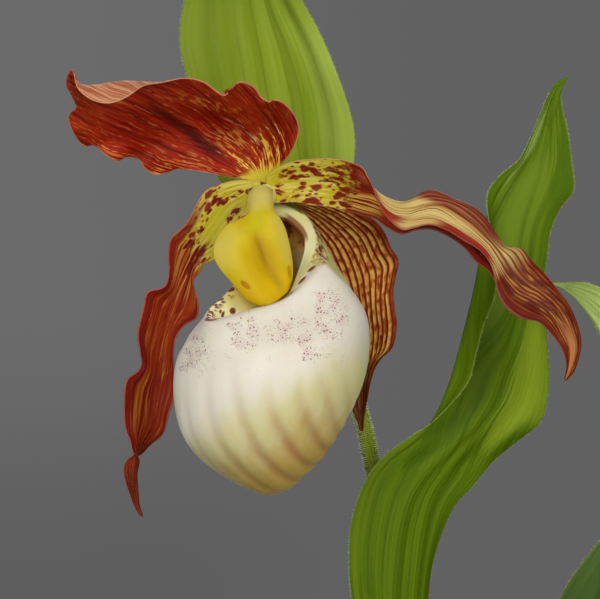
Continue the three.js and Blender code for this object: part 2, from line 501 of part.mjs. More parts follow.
function lipGrid(rows, segments, ribDepth, grow) {
  const ring = (points) => new THREE.CatmullRomCurve3(points.map(vec), true, "centripetal");
  const hand = [LIP.margin, LIP.crest, LIP.valley, LIP.brow, LIP.shoulder].map(ring);
  const oval = ({ centre, halfWidth, halfDepth, roll, nod }, turn) => {
    const angle = 2 * Math.PI * turn;
    const p = new THREE.Vector3(halfWidth * Math.sin(angle), -halfDepth * Math.cos(angle), 0);
    p.applyEuler(new THREE.Euler(THREE.MathUtils.degToRad(nod), -THREE.MathUtils.degToRad(roll), 0));
    return p.add(vec(centre));
  };
  const sections = (turn) => [
    ...hand.map((c) => c.getPoint(turn % 1)),
    ...LIP.ovals.map((o) => oval(o, turn)),
  ];
  const grid = [];
  for (let k = 0; k < segments; k++) {
    const turn = k / segments;
    const beyond = oval(LIP.ovals.at(-1), turn + 0.5);
    const points = [...sections(turn), vec(LIP.toe), beyond];
    const profile = new THREE.CatmullRomCurve3(points, false, "centripetal");
    const end = (points.length - 2) / (points.length - 1);
    grid.push(Array.from({ length: rows }, (_, j) => profile.getPoint((end * j) / rows)));
  }
  const origin = vec(FLOWER);
  const normals = grid.map((column, k) =>
    column.map((p, j) => {
      const round = grid[(k + 1) % segments][j].clone().sub(grid[(k + segments - 1) % segments][j]);
      const down = column[Math.min(j + 1, rows - 1)].clone().sub(column[Math.max(j - 1, 0)]);
      return down.cross(round).normalize();
    }),
  );
  const rib = (k, j) => {
    const crease = 0.5 + 0.5 * Math.cos((2 * Math.PI * POUCH.ribs * k) / segments);
    return -ribDepth * smooth(0.5, 0.8, j / rows) * crease;
  };
  const lifted = (p, k, j, amount) => p.clone().addScaledVector(normals[k][j], amount).add(origin);
  const outer = grid.map((column, k) => column.map((p, j) => lifted(p, k, j, rib(k, j) + grow)));
  const inward = (p, k, j) => lifted(p, k, j, rib(k, j) - POUCH.wall - grow);
  const inner = grid.map((column, k) => column.map((p, j) => inward(p, k, j)));
  const toe = vec(LIP.toe).add(origin);
  const innerToe = toe.clone().add(new THREE.Vector3(0, 0, POUCH.wall + grow));
  toe.z -= grow;
  return { outer, inner, toe, innerToe };
}

function lipSolid(rows, segments, ribDepth, grow = 0) {
  const { outer, inner, toe, innerToe } = lipGrid(rows, segments, ribDepth, grow);
  const vertices = [...outer.flat(), ...inner.flat(), toe, innerToe];
  const out = (k, j) => (k % segments) * rows + j;
  const into = (k, j) => segments * rows + out(k, j);
  const poles = 2 * segments * rows;
  const faces = [];
  for (let k = 0; k < segments; k++) {
    for (let j = 0; j < rows - 1; j++) {
      faces.push([out(k, j), out(k, j + 1), out(k + 1, j + 1)]);
      faces.push([out(k, j), out(k + 1, j + 1), out(k + 1, j)]);
      faces.push([into(k, j), into(k + 1, j + 1), into(k, j + 1)]);
      faces.push([into(k, j), into(k + 1, j), into(k + 1, j + 1)]);
    }
    faces.push([out(k, rows - 1), poles, out(k + 1, rows - 1)]);
    faces.push([into(k, rows - 1), into(k + 1, rows - 1), poles + 1]);
    faces.push([out(k, 0), out(k + 1, 0), into(k + 1, 0)], [out(k, 0), into(k + 1, 0), into(k, 0)]);
  }
  return solidOf(vertices, faces);
}

// Shoot leaves that the formula shapes: a sheath round the stem that opens into a pleated blade

function leafRails({ at, azimuth, reach, widths, opening, sway = 0, roll = 0 }) {
  const turn = THREE.MathUtils.degToRad(azimuth);
  const out = new THREE.Vector3(Math.cos(turn), Math.sin(turn), 0);
  const aside = new THREE.Vector3(-Math.sin(turn), Math.cos(turn), 0);
  const spine = new THREE.CatmullRomCurve3(
    reach.map(([r, h]) => new THREE.Vector3(r, 0, h)),
    false,
    "centripetal",
  );
  const stations = 9;
  const lookUp = (list, u) => {
    const x = u * (list.length - 1);
    const k = Math.min(Math.floor(x), list.length - 2);
    return list[k] + (list[k + 1] - list[k]) * (x - k);
  };
  const rails = [-1, -0.5, 0, 0.5, 1].map(() => []);
  for (let j = 0; j < stations; j++) {
    const u = j / (stations - 1);
    const flat = spine.getPointAt(u);
    const slope = spine.getTangentAt(u);
    const half = lookUp(widths, u);
    const arc = THREE.MathUtils.degToRad(lookUp(opening, u)) / 2;
    const radius = half / arc;
    const inward = new THREE.Vector3().addScaledVector(out, -slope.z).add(new THREE.Vector3(0, 0, slope.x));
    const centre = vec(at).addScaledVector(out, flat.x).addScaledVector(aside, sway * u * u);
    centre.z += flat.z;
    [-1, -0.5, 0, 0.5, 1].forEach((k, i) => {
      const angle = k * arc;
      const across = aside.clone().multiplyScalar(radius * Math.sin(angle));
      across.addScaledVector(inward, radius * (1 - Math.cos(angle)));
      const tangent = out.clone().multiplyScalar(slope.x).add(new THREE.Vector3(0, 0, slope.z));
      across.applyAxisAngle(tangent, THREE.MathUtils.degToRad(roll) * u);
      rails[i].push(centre.clone().add(across).toArray());
    });
  }
  return rails;
}

// Ring of points round the axis of the pot

const ringAt = (radius, z, sides) =>
  Array.from({ length: sides }, (_, k) => {
    const angle = (2 * Math.PI * k) / sides;
    return new THREE.Vector3(radius * Math.cos(angle), radius * Math.sin(angle), z);
  });

const outsideAt = (z) => POT.foot + ((POT.top - POT.foot) * z) / POT.height;
const insideAt = (z) => outsideAt(z) - POT.wall;

function makePot() {
  const shoulder = POT.height - POT.rimHeight;
  const profile = [
    [POT.foot - 2, 0], [POT.foot, 2], [outsideAt(shoulder - 0.5), shoulder - 0.5], [POT.rim - 2, shoulder],
    [POT.rim - 0.6, shoulder + 1.4], [POT.rim + 0.6, POT.height - 3], [POT.rim - 0.6, POT.height - 0.6],
    [POT.rim - 3, POT.height], [insideAt(POT.height) + 2.2, POT.height - 0.4],
    [insideAt(POT.height), POT.height - 3],
    [insideAt(60), 60], [insideAt(POT.floor + 3), POT.floor + 3], [insideAt(POT.floor) - 3, POT.floor],
  ];
  const rings = profile.map(([radius, z]) => ringAt(radius, z, POT.sides));
  let solid = loft(rings, new THREE.Vector3(0, 0, 0), new THREE.Vector3(0, 0, POT.floor));
  for (let k = 0; k < DRAIN.count; k++) {
    const angle = (2 * Math.PI * (k + 0.25)) / DRAIN.count;
    const hole = new THREE.CylinderGeometry(DRAIN.radius, DRAIN.radius, 4 * POT.floor, 14);
    hole.rotateX(Math.PI / 2);
    hole.translate(DRAIN.ring * Math.cos(angle), DRAIN.ring * Math.sin(angle), 0);
    solid = solid.subtract(solidOfGeometry(hole));
  }
  return solid;
}

function makeSoil() {
  const bump = (x, y) => {
    const broad = Math.sin(x * 0.23 + 1) * Math.cos(y * 0.19);
    return SOIL.lump * (broad + 0.6 * Math.sin(x * 0.41 - y * 0.37));
  };
  const edge = insideAt(SOIL.level) - SOIL.gap;
  const low = POT.floor + SOIL.gap;
  const rings = [
    ringAt(insideAt(low) - 3 - SOIL.gap, low, SOIL.sides),
    ringAt(insideAt(low + 3) - SOIL.gap, low + 3, SOIL.sides),
    ringAt(insideAt(60) - SOIL.gap, 60, SOIL.sides),
    ringAt(edge, SOIL.level, SOIL.sides),
  ];
  for (const part of [0.92, 0.72, 0.5, 0.26]) {
    const ring = ringAt(edge * part, SOIL.level + SOIL.crown * (1 - part * part), SOIL.sides);
    rings.push(ring.map((p) => p.setZ(p.z + bump(p.x, p.y) * Math.min(1, (1 - part) * 6))));
  }
  return loft(rings, new THREE.Vector3(0, 0, low), new THREE.Vector3(0, 0, SOIL.level + SOIL.crown));
}

// Stems

const MAIN_STEM = inFlower(STEM);
const SECOND_STEM = [
  [45, 22, 105], [46.5, 22.5, 150], [49.5, 24, 200], [53.5, 25, 250], [58, 26, 300], [62, 26, 345],
  [64, 26, 372],
];
const stemRadius = (u) => STEM_RADIUS * (0.85 + 0.35 * u);
const mainStem = (grow = 0) => tube(MAIN_STEM, (u) => stemRadius(u) + 0.2 * u, 8, 28, grow);
const secondStem = (grow = 0) => tube(SECOND_STEM, (u) => stemRadius(1 - u), 8, 14, grow);
const ovaryRadius = (u) => 2.1 + 1.15 * Math.sin(Math.PI * Math.min(1, u * 1.05)) ** 0.8;
const ovary = (grow = 0) => tube(inFlower(OVARY), ovaryRadius, 8, 9, grow);

const pointOn = (points, height) => {
  const path = curveOf(points);
  let best = path.getPoint(0);
  for (let k = 1; k <= 400; k++) {
    const p = path.getPoint(k / 400);
    if (Math.abs(p.z - height) < Math.abs(best.z - height)) best = p;
  }
  return [best.x, best.y, height];
};

// Rhizome and roots

const RHIZOME = [[-20, -6, 92], [-5.5, 0, 94], [10, 6, 92], [28, 14, 93], [45, 22, 94], [50, 24, 93]];
const ROOTS = [
  [[-16, -5, 91], [-34, -14, 80], [-44, -20, 58], [-42, -16, 34]],
  [[-8, -2, 90], [-12, -18, 74], [-20, -34, 52], [-14, -42, 28]],
  [[4, 4, 90], [2, 22, 76], [-10, 38, 54], [-6, 44, 30]],
  [[20, 10, 90], [26, -8, 74], [30, -26, 50], [22, -38, 26]],
  [[36, 18, 90], [30, 34, 72], [24, 42, 48], [12, 46, 24]],
  [[44, 21, 90], [47, 8, 74], [46, -6, 50], [40, -12, 26]],
];

function rhizome(grow = 0) {
  const knobs = (u) => 4.6 + 0.8 * Math.sin(26 * u);
  let solid = tube(RHIZOME, knobs, 8, 14, grow);
  for (const [x, y] of [MAIN_STEM.at(-1), SECOND_STEM[0]])
    solid = solid.add(tube([[x, y, 93], [x, y, 98], [x, y, 102.8]], () => 3, 8, 2, grow));
  for (const path of ROOTS) solid = solid.add(tube(path, (u) => 1.5 - 0.8 * u, 4, 5, grow));
  return solid;
}

// Leaves of the two shoots

const LOWER_LEAVES = [
  {
    name: "leaf_1", at: pointOn(MAIN_STEM, 150), azimuth: 168, roll: 8, sway: -10,
    reach: [[3.6, 0], [3.9, 18], [12, 46], [34, 82], [66, 108], [102, 118], [136, 112], [160, 96]],
    widths: [9.4, 15, 29, 36, 37, 33, 24, 12, 0.7], opening: [300, 190, 110, 84, 70, 60, 50, 40, 30],
  },
  {
    name: "leaf_2", at: pointOn(MAIN_STEM, 198), azimuth: -28, roll: -6, sway: 12,
    reach: [[3.6, 0], [4, 18], [14, 44], [38, 76], [70, 98], [104, 106], [138, 98], [160, 82]],
    widths: [9.4, 15, 30, 38, 40, 36, 26, 13, 0.7], opening: [300, 185, 110, 84, 70, 60, 50, 40, 30],
  },
  {
    name: "leaf_3", at: pointOn(MAIN_STEM, 248), azimuth: 196, roll: 6, sway: 8,
    reach: [[3.6, 0], [4.1, 14], [16, 34], [40, 58], [70, 74], [102, 78], [132, 68], [152, 50]],
    widths: [9.4, 15, 28, 34, 35, 31, 23, 12, 0.7], opening: [300, 190, 110, 82, 66, 56, 48, 40, 30],
  },
  {
    name: "shoot_leaf_1", at: pointOn(SECOND_STEM, 160), azimuth: 62, roll: -6, sway: 8,
    reach: [[3.5, 0], [3.9, 18], [13, 44], [34, 76], [64, 98], [96, 106], [124, 98], [144, 82]],
    widths: [9.2, 13, 25, 31, 32, 29, 21, 11, 0.7], opening: [300, 190, 110, 84, 70, 60, 50, 40, 30],
  },
  {
    name: "shoot_leaf_2", at: pointOn(SECOND_STEM, 231), azimuth: -78, roll: 6, sway: 6,
    reach: [[3.5, 0], [3.9, 20], [12, 50], [26, 86], [46, 120], [70, 147], [94, 161.5], [116, 164]],
    widths: [9.2, 13, 25, 31, 32, 29, 21, 11, 0.7], opening: [300, 185, 110, 80, 64, 56, 48, 40, 30],
  },
  {
    name: "shoot_leaf_3", at: pointOn(SECOND_STEM, 272), azimuth: 28, roll: 4, sway: -6,
    reach: [[3.5, 0], [3.9, 20], [12, 50], [28, 84], [52, 110], [80, 122], [106, 118], [124, 104]],
    widths: [9.2, 12, 23, 29, 30, 27, 20, 10, 0.7], opening: [300, 185, 110, 80, 64, 56, 48, 40, 30],
  },
];
const SHEATHS = [
  { name: "sheath_main", at: pointOn(MAIN_STEM, 119.5), azimuth: 20 },
  { name: "sheath_second", at: pointOn(SECOND_STEM, 118.5), azimuth: 200 },
].map((sheath) => ({
  ...sheath,
  reach: [[4, 0], [4, 8], [4.1, 16], [4.9, 24], [6.8, 31]],
  widths: [10.8, 10.8, 10.6, 9.8, 8.4, 6.4, 4.6, 2.6, 0.6],
  opening: [310, 310, 300, 270, 220, 160, 120, 90, 60],
}));

const leafGrid = (leaf) => railGrid(leafRails(leaf), 11, 2 * PLEATS, pleats(0.65, 2.2, 2.5));
const sheathGrid = (sheath) => railGrid(leafRails(sheath), 5, 8);

// Every thin piece of the flower as a surface grid

const petalWave = (depth, waves) => (u, v) => {
  const ripple = Math.sin(2 * Math.PI * waves * u + (v > 0.5 ? 2 : 0));
  return depth * smooth(0, 0.25, u) * Math.abs(2 * v - 1) ** 2 * ripple;
};

const GRIDS = {
  dorsal_sepal: railed(DORSAL_SEPAL, 23, 10, petalWave(0.5, 5)),
  petal_left: railed(LEFT_PETAL, 28, 6, petalWave(0.5, 6)),
  petal_right: railed(RIGHT_PETAL, 30, 8, petalWave(0.2, 7)),
  synsepal: railed(SYNSEPAL, 16, 6, petalWave(0.5, 3)),
  bract: railed(BRACT, 16, 2 * PLEATS, pleats(0.45, 0.6, 3)),
  leaf_4: railed(TOP_LEAF, 25, 2 * PLEATS, pleats(0.35, 0.4, 5)),
};
const STAMINODE_GRID = railed(
  [STAMINODE.left, STAMINODE.crestLeft, STAMINODE.groove, STAMINODE.crestRight, STAMINODE.right], 12, 8,
);
const petal = (name, grow = 0) => sheet(GRIDS[name], PETAL_THICK, grow);
const column = (grow = 0) => tube(inFlower(COLUMN), (u) => 3 - 0.9 * u, 10, 6, grow);
const staminode = (grow = 0) => sheet(STAMINODE_GRID, 1.1, grow);
const lip = (grow = 0) => lipSolid(POUCH.rows, 2 * POUCH.ribs, POUCH.ribDepth, grow);

// Assembly: each piece is cut back from the ones before it, with the clearance

const mainKeep = mainStem(GAP);
const secondKeep = secondStem(GAP);
const ovaryKeep = ovary(GAP);

add("pot", COLOURS.clay, makePot(), 0.85);
add("soil", COLOURS.soil, carve(makeSoil(), mainKeep, secondKeep, rhizome(SOIL.gap)), 1);
add("rhizome", COLOURS.root, rhizome(), 0.9);
add("flower_stem", COLOURS.stem, mainStem());
add("shoot_stem", COLOURS.stem, secondStem());
add("ovary", COLOURS.stem, carve(ovary(), mainKeep));

for (const sheath of SHEATHS)
  add(sheath.name, COLOURS.sheath, carve(sheet(sheathGrid(sheath), LEAF_THICK), mainKeep, secondKeep), 0.8);
const placed = [];
for (const leaf of LOWER_LEAVES) {
  const grid = leafGrid(leaf);
  add(leaf.name, COLOURS.leaf, carve(sheet(grid, LEAF_THICK), mainKeep, secondKeep, ...placed));
  placed.push(sheet(grid, LEAF_THICK, GAP));
}
const shootTop = railGrid(SHOOT_TOP_LEAF, 13, 2 * PLEATS, pleats(0.4, 0.4, 4));
add("shoot_leaf_4", COLOURS.leaf, carve(sheet(shootTop, LEAF_THICK), secondKeep, ...placed));
placed.push(sheet(shootTop, LEAF_THICK, GAP));

const topLeaf = sheet(GRIDS.leaf_4, LEAF_THICK);
add("leaf_4", COLOURS.leaf, carve(topLeaf, mainKeep, ...placed));
const topLeafKeep = sheet(GRIDS.leaf_4, LEAF_THICK, GAP);
add("bract", COLOURS.bract, carve(sheet(GRIDS.bract, LEAF_THICK), mainKeep, ovaryKeep, topLeafKeep));

const staminodeKeep = staminode(GAP);
const columnKeep = column(GAP);
const lipKeep = lip(GAP);
add("staminode", COLOURS.staminode, staminode(), 0.4);
add("column", COLOURS.column, carve(column(), ovaryKeep, staminodeKeep), 0.5);
add("lip_pouch", COLOURS.lip, carve(lip(), ovaryKeep, columnKeep, staminodeKeep), 0.35);

const flowerKeep = [ovaryKeep, columnKeep, staminodeKeep, lipKeep, sheet(GRIDS.bract, LEAF_THICK, GAP)];
for (const [name, colour] of [
  ["synsepal", COLOURS.sepal],
  ["dorsal_sepal", COLOURS.sepal],
  ["petal_left", COLOURS.sepal],
  ["petal_right", COLOURS.sepal],
]) {
  add(name, colour, carve(petal(name), mainKeep, topLeafKeep, ...flowerKeep), 0.5);
  flowerKeep.push(petal(name, GAP), petal(name));
}

export default root;
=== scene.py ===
import math

import bpy
import numpy as np
from mathutils import Matrix, Vector


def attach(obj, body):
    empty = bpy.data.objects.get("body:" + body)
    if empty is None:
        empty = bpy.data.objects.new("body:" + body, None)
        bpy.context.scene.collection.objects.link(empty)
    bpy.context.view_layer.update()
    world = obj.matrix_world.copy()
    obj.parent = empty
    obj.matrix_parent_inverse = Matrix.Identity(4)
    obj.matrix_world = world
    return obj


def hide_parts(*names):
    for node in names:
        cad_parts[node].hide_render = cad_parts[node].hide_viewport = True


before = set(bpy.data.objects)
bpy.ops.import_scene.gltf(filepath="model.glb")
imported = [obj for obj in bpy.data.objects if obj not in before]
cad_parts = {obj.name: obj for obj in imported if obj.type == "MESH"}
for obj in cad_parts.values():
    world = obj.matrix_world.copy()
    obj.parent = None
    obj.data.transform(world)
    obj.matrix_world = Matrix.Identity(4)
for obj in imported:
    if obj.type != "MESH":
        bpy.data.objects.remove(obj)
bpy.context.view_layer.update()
scene = bpy.context.scene
rng = np.random.default_rng(41)
MM = 0.001

# Driving sizes, the same as the solids'
POT = {"height": 130, "foot": 54, "top": 74, "rim": 79, "rimHeight": 24, "wall": 5.5, "floor": 8, "waist": 60}
DRAIN = {"radius": 5, "ring": 26, "count": 3, "sides": 28}
SOIL = {"level": 114, "crown": 4, "lump": 1.6, "gap": 0.4}
FLOWER = (-39.5, -20, 460)
STEM_RADIUS = 2.6
PLEATS = 5
POUCH = {"wall": 1.0, "foldDepth": 0.49, "rimDrop": 0.35}
PETAL_THICK = 0.45
LEAF_THICK = 0.5
SHIELD_THICK = 1.1
SHIELD_EDGE = 0.5
MARGIN_HAIR = 0.045
DOWN_HAIR = 0.075

# Flower, in millimetres from FLOWER: x right, y away from the viewer, z up
OVARY = ((2.5, 6.5, -2), (6, 12, -5), (11, 18.5, -13), (14.5, 22.5, -22), (16, 23.5, -28))
STEM = (
    (16, 23.5, -28.6), (19, 24.5, -39), (22.5, 24, -50), (25.5, 23, -60), (28, 22, -71), (30.5, 21, -84),
    (32.5, 20.5, -99), (34, 20, -114), (35, 20, -129), (35.3, 20, -150), (35, 20, -200), (34.5, 20, -280),
    (34, 20, -355),
)
COLUMN = ((1.2, 5.4, -2.4), (0, 1.6, -3), (-0.5, -2.6, -5.4), (0.2, -4.6, -8.8), (1.6, -6, -12.5))
STAMINODE = (
    ((-3.2, -4.2, -1.2), (-3.5, -4.8, -3.8), (-3.8, -5, -6.3), (-4.2, -5.4, -8.4), (-6.2, -5.8, -9),
     (-8.6, -6.4, -10), (-10.6, -7.2, -12.2), (-12, -8.4, -15.6), (-11.8, -9.4, -18.4), (-10.4, -10.6, -21),
     (-8, -12, -23.8), (-5.5, -13.4, -26.6), (-3.4, -14.8, -28.8), (-1, -15.8, -30), (1, -16.2, -30.4)),
    ((-2, -4.8, -0.5), (-2.1, -6.4, -5), (-2.8, -7.8, -9), (-5.4, -9.6, -12.4), (-6.4, -11.4, -16.4),
     (-5.2, -13, -20.4), (-2.8, -14.6, -24.4), (-0.4, -16, -28.2), (2, -16.6, -30)),
    ((-0.5, -5.2, -0.2), (-0.7, -6.8, -5), (-1.3, -7.8, -9), (-1.6, -8.6, -12.4), (-0.4, -10.2, -16.4),
     (1.2, -12, -20.4), (2.9, -14, -24.4), (3.6, -15.8, -27.8), (3.6, -16.5, -29.2)),
    ((1.2, -5, -0.5), (1.2, -6.4, -5), (1.8, -8, -9), (2.8, -9.6, -12.8), (4.2, -11.2, -16.8),
     (5.2, -12.8, -20.8), (5.8, -14.2, -24.4), (5.6, -15.4, -27), (5, -16, -28)),
    ((2.5, -4.2, -1.2), (2.6, -4.8, -3.8), (3, -5.2, -6.2), (4.2, -5.6, -8), (5.6, -6.4, -10.6),
     (6.6, -7.6, -14), (7.3, -9, -17.6), (7.6, -10.4, -20.8), (7.4, -12.2, -24), (6.6, -14.6, -26.4)),
)
DORSAL_SEPAL = (
    ((-2.2, 3.8, -0.4), (-3.2, 3.5, 1.4), (-5.5, 3.5, 1.8), (-10.5, 3.5, 2.5), (-15.5, 3, 3.5),
     (-20.5, 2, 4.1), (-24.2, -0.5, 3.1), (-27, -2, 2.5), (-29.4, -1, 4), (-30.7, -1.5, 6.3),
     (-33.5, -3.5, 6.8), (-36.8, -7, 6.1), (-39.3, -8, 7.6), (-41.4, -8.5, 9.5), (-43.9, -12, 9.3),
     (-46.5, -14, 11.9), (-48, -16.5, 16.8), (-46, -18, 19), (-47, -20, 21.8), (-47.9, -23, 25),
     (-47.2, -26.5, 27.7)),
    ((-1.2, 4.5, -0.6), (-1.8, 4.2, 1.8), (-5, 4.5, 5), (-12, 4.5, 9), (-20, 2.5, 11), (-28, -2, 12),
     (-36, -8, 13), (-42, -14, 16), (-46, -19.5, 20), (-47.2, -24, 24.8), (-47.4, -26.5, 27.8)),
    ((0, 4.7, -0.5), (-0.2, 4.3, 2.4), (-1.8, 4.5, 6.8), (-5.5, 4, 11.2), (-11.8, 2.5, 15.2),
     (-19.2, -1, 17.2), (-28, -7, 18.2), (-36, -13, 19.2), (-43, -19, 21.8), (-46.3, -23.5, 24.6),
     (-47.3, -26.5, 27.9)),
    ((1.1, 4.3, -0.1), (1.9, 3.3, 3), (4, 2, 8.5), (3.5, -1, 14), (-2, -4, 18), (-9, -6.5, 19.5),
     (-17, -9, 22), (-24, -13, 24.2), (-30, -17, 25.2), (-36, -21, 25.2), (-41, -24, 24.4),
     (-44.8, -26, 24.4), (-47.2, -26.5, 28)),
    ((2, 3.8, 0.6), (3, 2.6, 3.4), (5.2, 0.5, 5.5), (7.8, -2.5, 9.2), (9, -5.5, 13.8), (7.8, -8.5, 18),
     (5.5, -11, 20.8), (3.5, -12.5, 21.5), (2, -11, 20.8), (0, -11.5, 21.5), (-2, -14, 24),
     (-5.5, -16.5, 25.5), (-7.2, -15, 24.5), (-9, -12.5, 22.5), (-11, -13.5, 23.2), (-14.2, -15.5, 25),
     (-19.2, -16.5, 26.2), (-24.2, -18.5, 25.8), (-28.5, -22, 24.5), (-33, -26, 21.2), (-37.5, -28.5, 20),
     (-41.8, -29, 21), (-45.5, -28.5, 23.5), (-47.1, -26.6, 28)),
)
LEFT_PETAL = (
    ((-0.6, 3.6, 1.4), (-5, 3.6, 1.5), (-10, 3.5, 0.6), (-14, 3.5, -1.2), (-16.4, 3.5, -4.4),
     (-18.3, 3.5, -7.8), (-20.5, 3, -10.7), (-22.8, 2.5, -13.1), (-23.5, 3.5, -16.8), (-23.6, 5, -21.1),
     (-24.9, 4.5, -25.1), (-28.8, 3, -26.7), (-29.6, 4, -30.4), (-31.6, 6, -37.2), (-30.9, 8, -41.8),
     (-30.4, 9, -44.8), (-31.3, 8, -46.7), (-34.2, 6, -48.9), (-35.1, 6.5, -55), (-34.4, 6, -60.4),
     (-32.9, 5, -64), (-32.5, 4, -66.8), (-31, 6, -69.2), (-31.4, 8, -73.2), (-31.2, 9, -78.8),
     (-30.1, 9, -83.2)),
    ((-0.2, 4.2, -1), (-4.6, 4.6, -2.8), (-8.5, 5, -5.4), (-12.5, 5.5, -10.8), (-16, 6, -16.2),
     (-19.2, 7, -21.8), (-22.5, 8, -28.8), (-24.8, 9.5, -36.2), (-26, 10.5, -43.8), (-27.5, 10.5, -51.2),
     (-29, 9.5, -58.8), (-30.8, 8, -63.8), (-31.2, 7.5, -67), (-32.2, 7.5, -70.8), (-32.4, 8, -75),
     (-31.4, 9, -80), (-30.3, 9, -83.2)),
    ((0.2, 3.8, -3.4), (-3, 4.2, -7.6), (-5.5, 4.5, -11.5), (-9, 4.5, -16.5), (-12, 4.5, -18.8),
     (-14.8, 5, -19.8), (-16, 5.5, -22), (-17.3, 6, -24), (-16.5, 5.5, -26.9), (-15.8, 5, -29.8),
     (-16.5, 6, -33.2), (-19.8, 8, -35.4), (-21.6, 9, -38.2), (-22.2, 9.5, -41.8), (-22.2, 9.5, -47.5),
     (-22.2, 9.5, -53.8), (-23.7, 10, -58.5), (-25, 10.5, -62.7), (-28.2, 10.5, -65.5), (-30.7, 10.5, -67.5),
     (-33.8, 9, -68.5), (-34.9, 7.5, -71.5), (-34.2, 7.5, -75.6), (-32, 8.5, -80.6), (-30.2, 9, -83.1)),
)
RIGHT_PETAL = (
    ((0.8, 4, -4), (4, 3, -4.4), (8, 1.2, -4.2), (12, -1, -5), (17.6, -3, -5.6), (22, -5, -6.8),
     (25.4, -8, -7.8), (28.4, -12, -8.4), (31, -16, -10.7), (34.7, -18, -12.5), (38.2, -19, -11.5),
     (41.7, -19, -11.2), (46.7, -19, -13.3), (50.5, -19.6, -16.1), (53.2, -20, -19.4), (55.8, -20, -21.2),
     (58.2, -19.6, -24.6), (61.2, -18.4, -28.2), (65.4, -18, -31), (69.8, -18, -34), (73.2, -18, -38.6),
     (75.6, -18.4, -44.2), (75.2, -19, -48.8)),
    ((0.9, 4.2, -2), (4, 3.2, -1.8), (8, 1.4, -1.6), (12.2, -0.8, -2), (17.8, -3, -2.6), (22.2, -6, -3.6),
     (25.8, -10, -4.6), (28.2, -14, -5.4), (31.4, -17.6, -6.8), (34.8, -19, -8.4), (37.8, -19.6, -7.6),
     (41.2, -20, -6.6), (45, -20, -7), (49.2, -20, -10.4), (52.6, -20.4, -13.4), (55.6, -20.4, -16.8),
     (59, -20, -20.8), (62.4, -19.6, -22.8), (66, -19, -24.8), (69.8, -19, -28), (73.2, -19, -31.8),
     (76, -19, -36.2), (76.8, -19, -41.2), (76, -19, -45.6), (75.2, -19, -48.8)),
    ((1, 4.2, -0.4), (4, 3.2, 0.5), (8, 1.6, 1), (12.6, -0.4, 0.8), (18, -3, 0.6), (22.4, -7, -0.6),
     (26, -12, -1), (27.9, -16, -1.5), (30.8, -19, -3.4), (34.9, -20.4, -4.6), (37.3, -21, -4),
     (40.3, -21.6, -2.1), (42.6, -22, -1.8), (47.7, -22.4, -3.8), (52.6, -22.4, -6), (55.4, -22.4, -8.6),
     (57.8, -22.4, -12.2), (60.8, -22, -15.8), (64.2, -22, -16.2), (67.2, -21.6, -19.6), (69.8, -21, -22.2),
     (72.6, -21, -25.6), (75.6, -20.4, -29.4), (78, -20.4, -34.6), (79, -20, -39.6), (77.4, -19.6, -46),
     (75.2, -19, -48.8)),
    ((1, 3.9, 1), (4, 2.6, 2.4), (7.8, 0.7, 3.4), (12.2, -1.6, 3.8), (17.8, -4.4, 3.6), (22.2, -8.4, 2.8),
     (25.4, -13, 1.4), (27.4, -17.6, -1), (29.6, -21.6, -5), (32.8, -23.6, -7.4), (36.2, -24.4, -7.8),
     (39.4, -25, -6.8), (43.2, -25.6, -6.4), (48, -26, -9), (52.4, -26, -12), (56, -26, -15.4),
     (58.6, -25.6, -19.4), (61, -25, -23.2), (64, -24.4, -26.2), (67.8, -24, -28.2), (71.4, -23.6, -31.2),
     (74.4, -22.4, -35.4), (76.4, -21, -40.4), (76.2, -20, -45), (75.2, -19, -48.8)),
    ((1, 3.4, 2.2), (3.4, 1.9, 4.2), (7, -0.4, 5.8), (12, -3, 6.6), (17.4, -6, 6.6), (22, -9.6, 5.6),
     (25.2, -13.6, 4.2), (26.8, -18, 1), (28.4, -22, -3.4), (30.8, -24, -8), (34.8, -25, -11.4),
     (37.6, -25.6, -11), (41.4, -26, -10.2), (45.6, -26.4, -11.4), (49.8, -26.4, -14), (54, -26.4, -16.6),
     (56.4, -26, -19.6), (57.6, -25.6, -23), (58.2, -25, -26.4), (60.2, -24.4, -30.4), (64, -24, -33.2),
     (68.4, -23.6, -34.2), (71.6, -22.4, -37.2), (74.4, -21.6, -41.2), (75.6, -20.4, -45),
     (75.2, -19, -48.8)),
)
SYNSEPAL = (
    ((1.2, 9.4, -4.8), (6, 12, -13.8), (10, 13.5, -23.8), (13.5, 14, -33.8), (17.5, 14, -43.8),
     (21.5, 13.5, -53.2), (23.8, 13, -58.8), (24.6, 12.5, -61.5)),
    ((2.4, 9.6, -3.4), (11.4, 12, -7.2), (18.2, 14, -13.8), (22, 15.5, -21.2), (24, 16, -30), (25, 16, -40),
     (25.2, 15, -50), (25.2, 13.5, -57.5), (25, 12.5, -61.8)),
    ((3.4, 9.2, -2.2), (13.6, 8, -3.4), (23.2, 8, -5.8), (28.9, 8.5, -8.8), (31.1, 9, -11.9),
     (32.4, 9, -15.5), (34.1, 8.5, -18.8), (33.5, 9, -22.5), (33, 10, -26.8), (33.6, 9.5, -30.8),
     (34.2, 9, -34.5), (33.7, 9.5, -38.4), (32.5, 10.5, -41.2), (30.3, 11.5, -42.8), (28.3, 12, -45.3),
     (27.1, 12.5, -49.2), (26.6, 12.5, -53.8), (26, 12.5, -58.2), (25.5, 12.5, -61.5)),
)
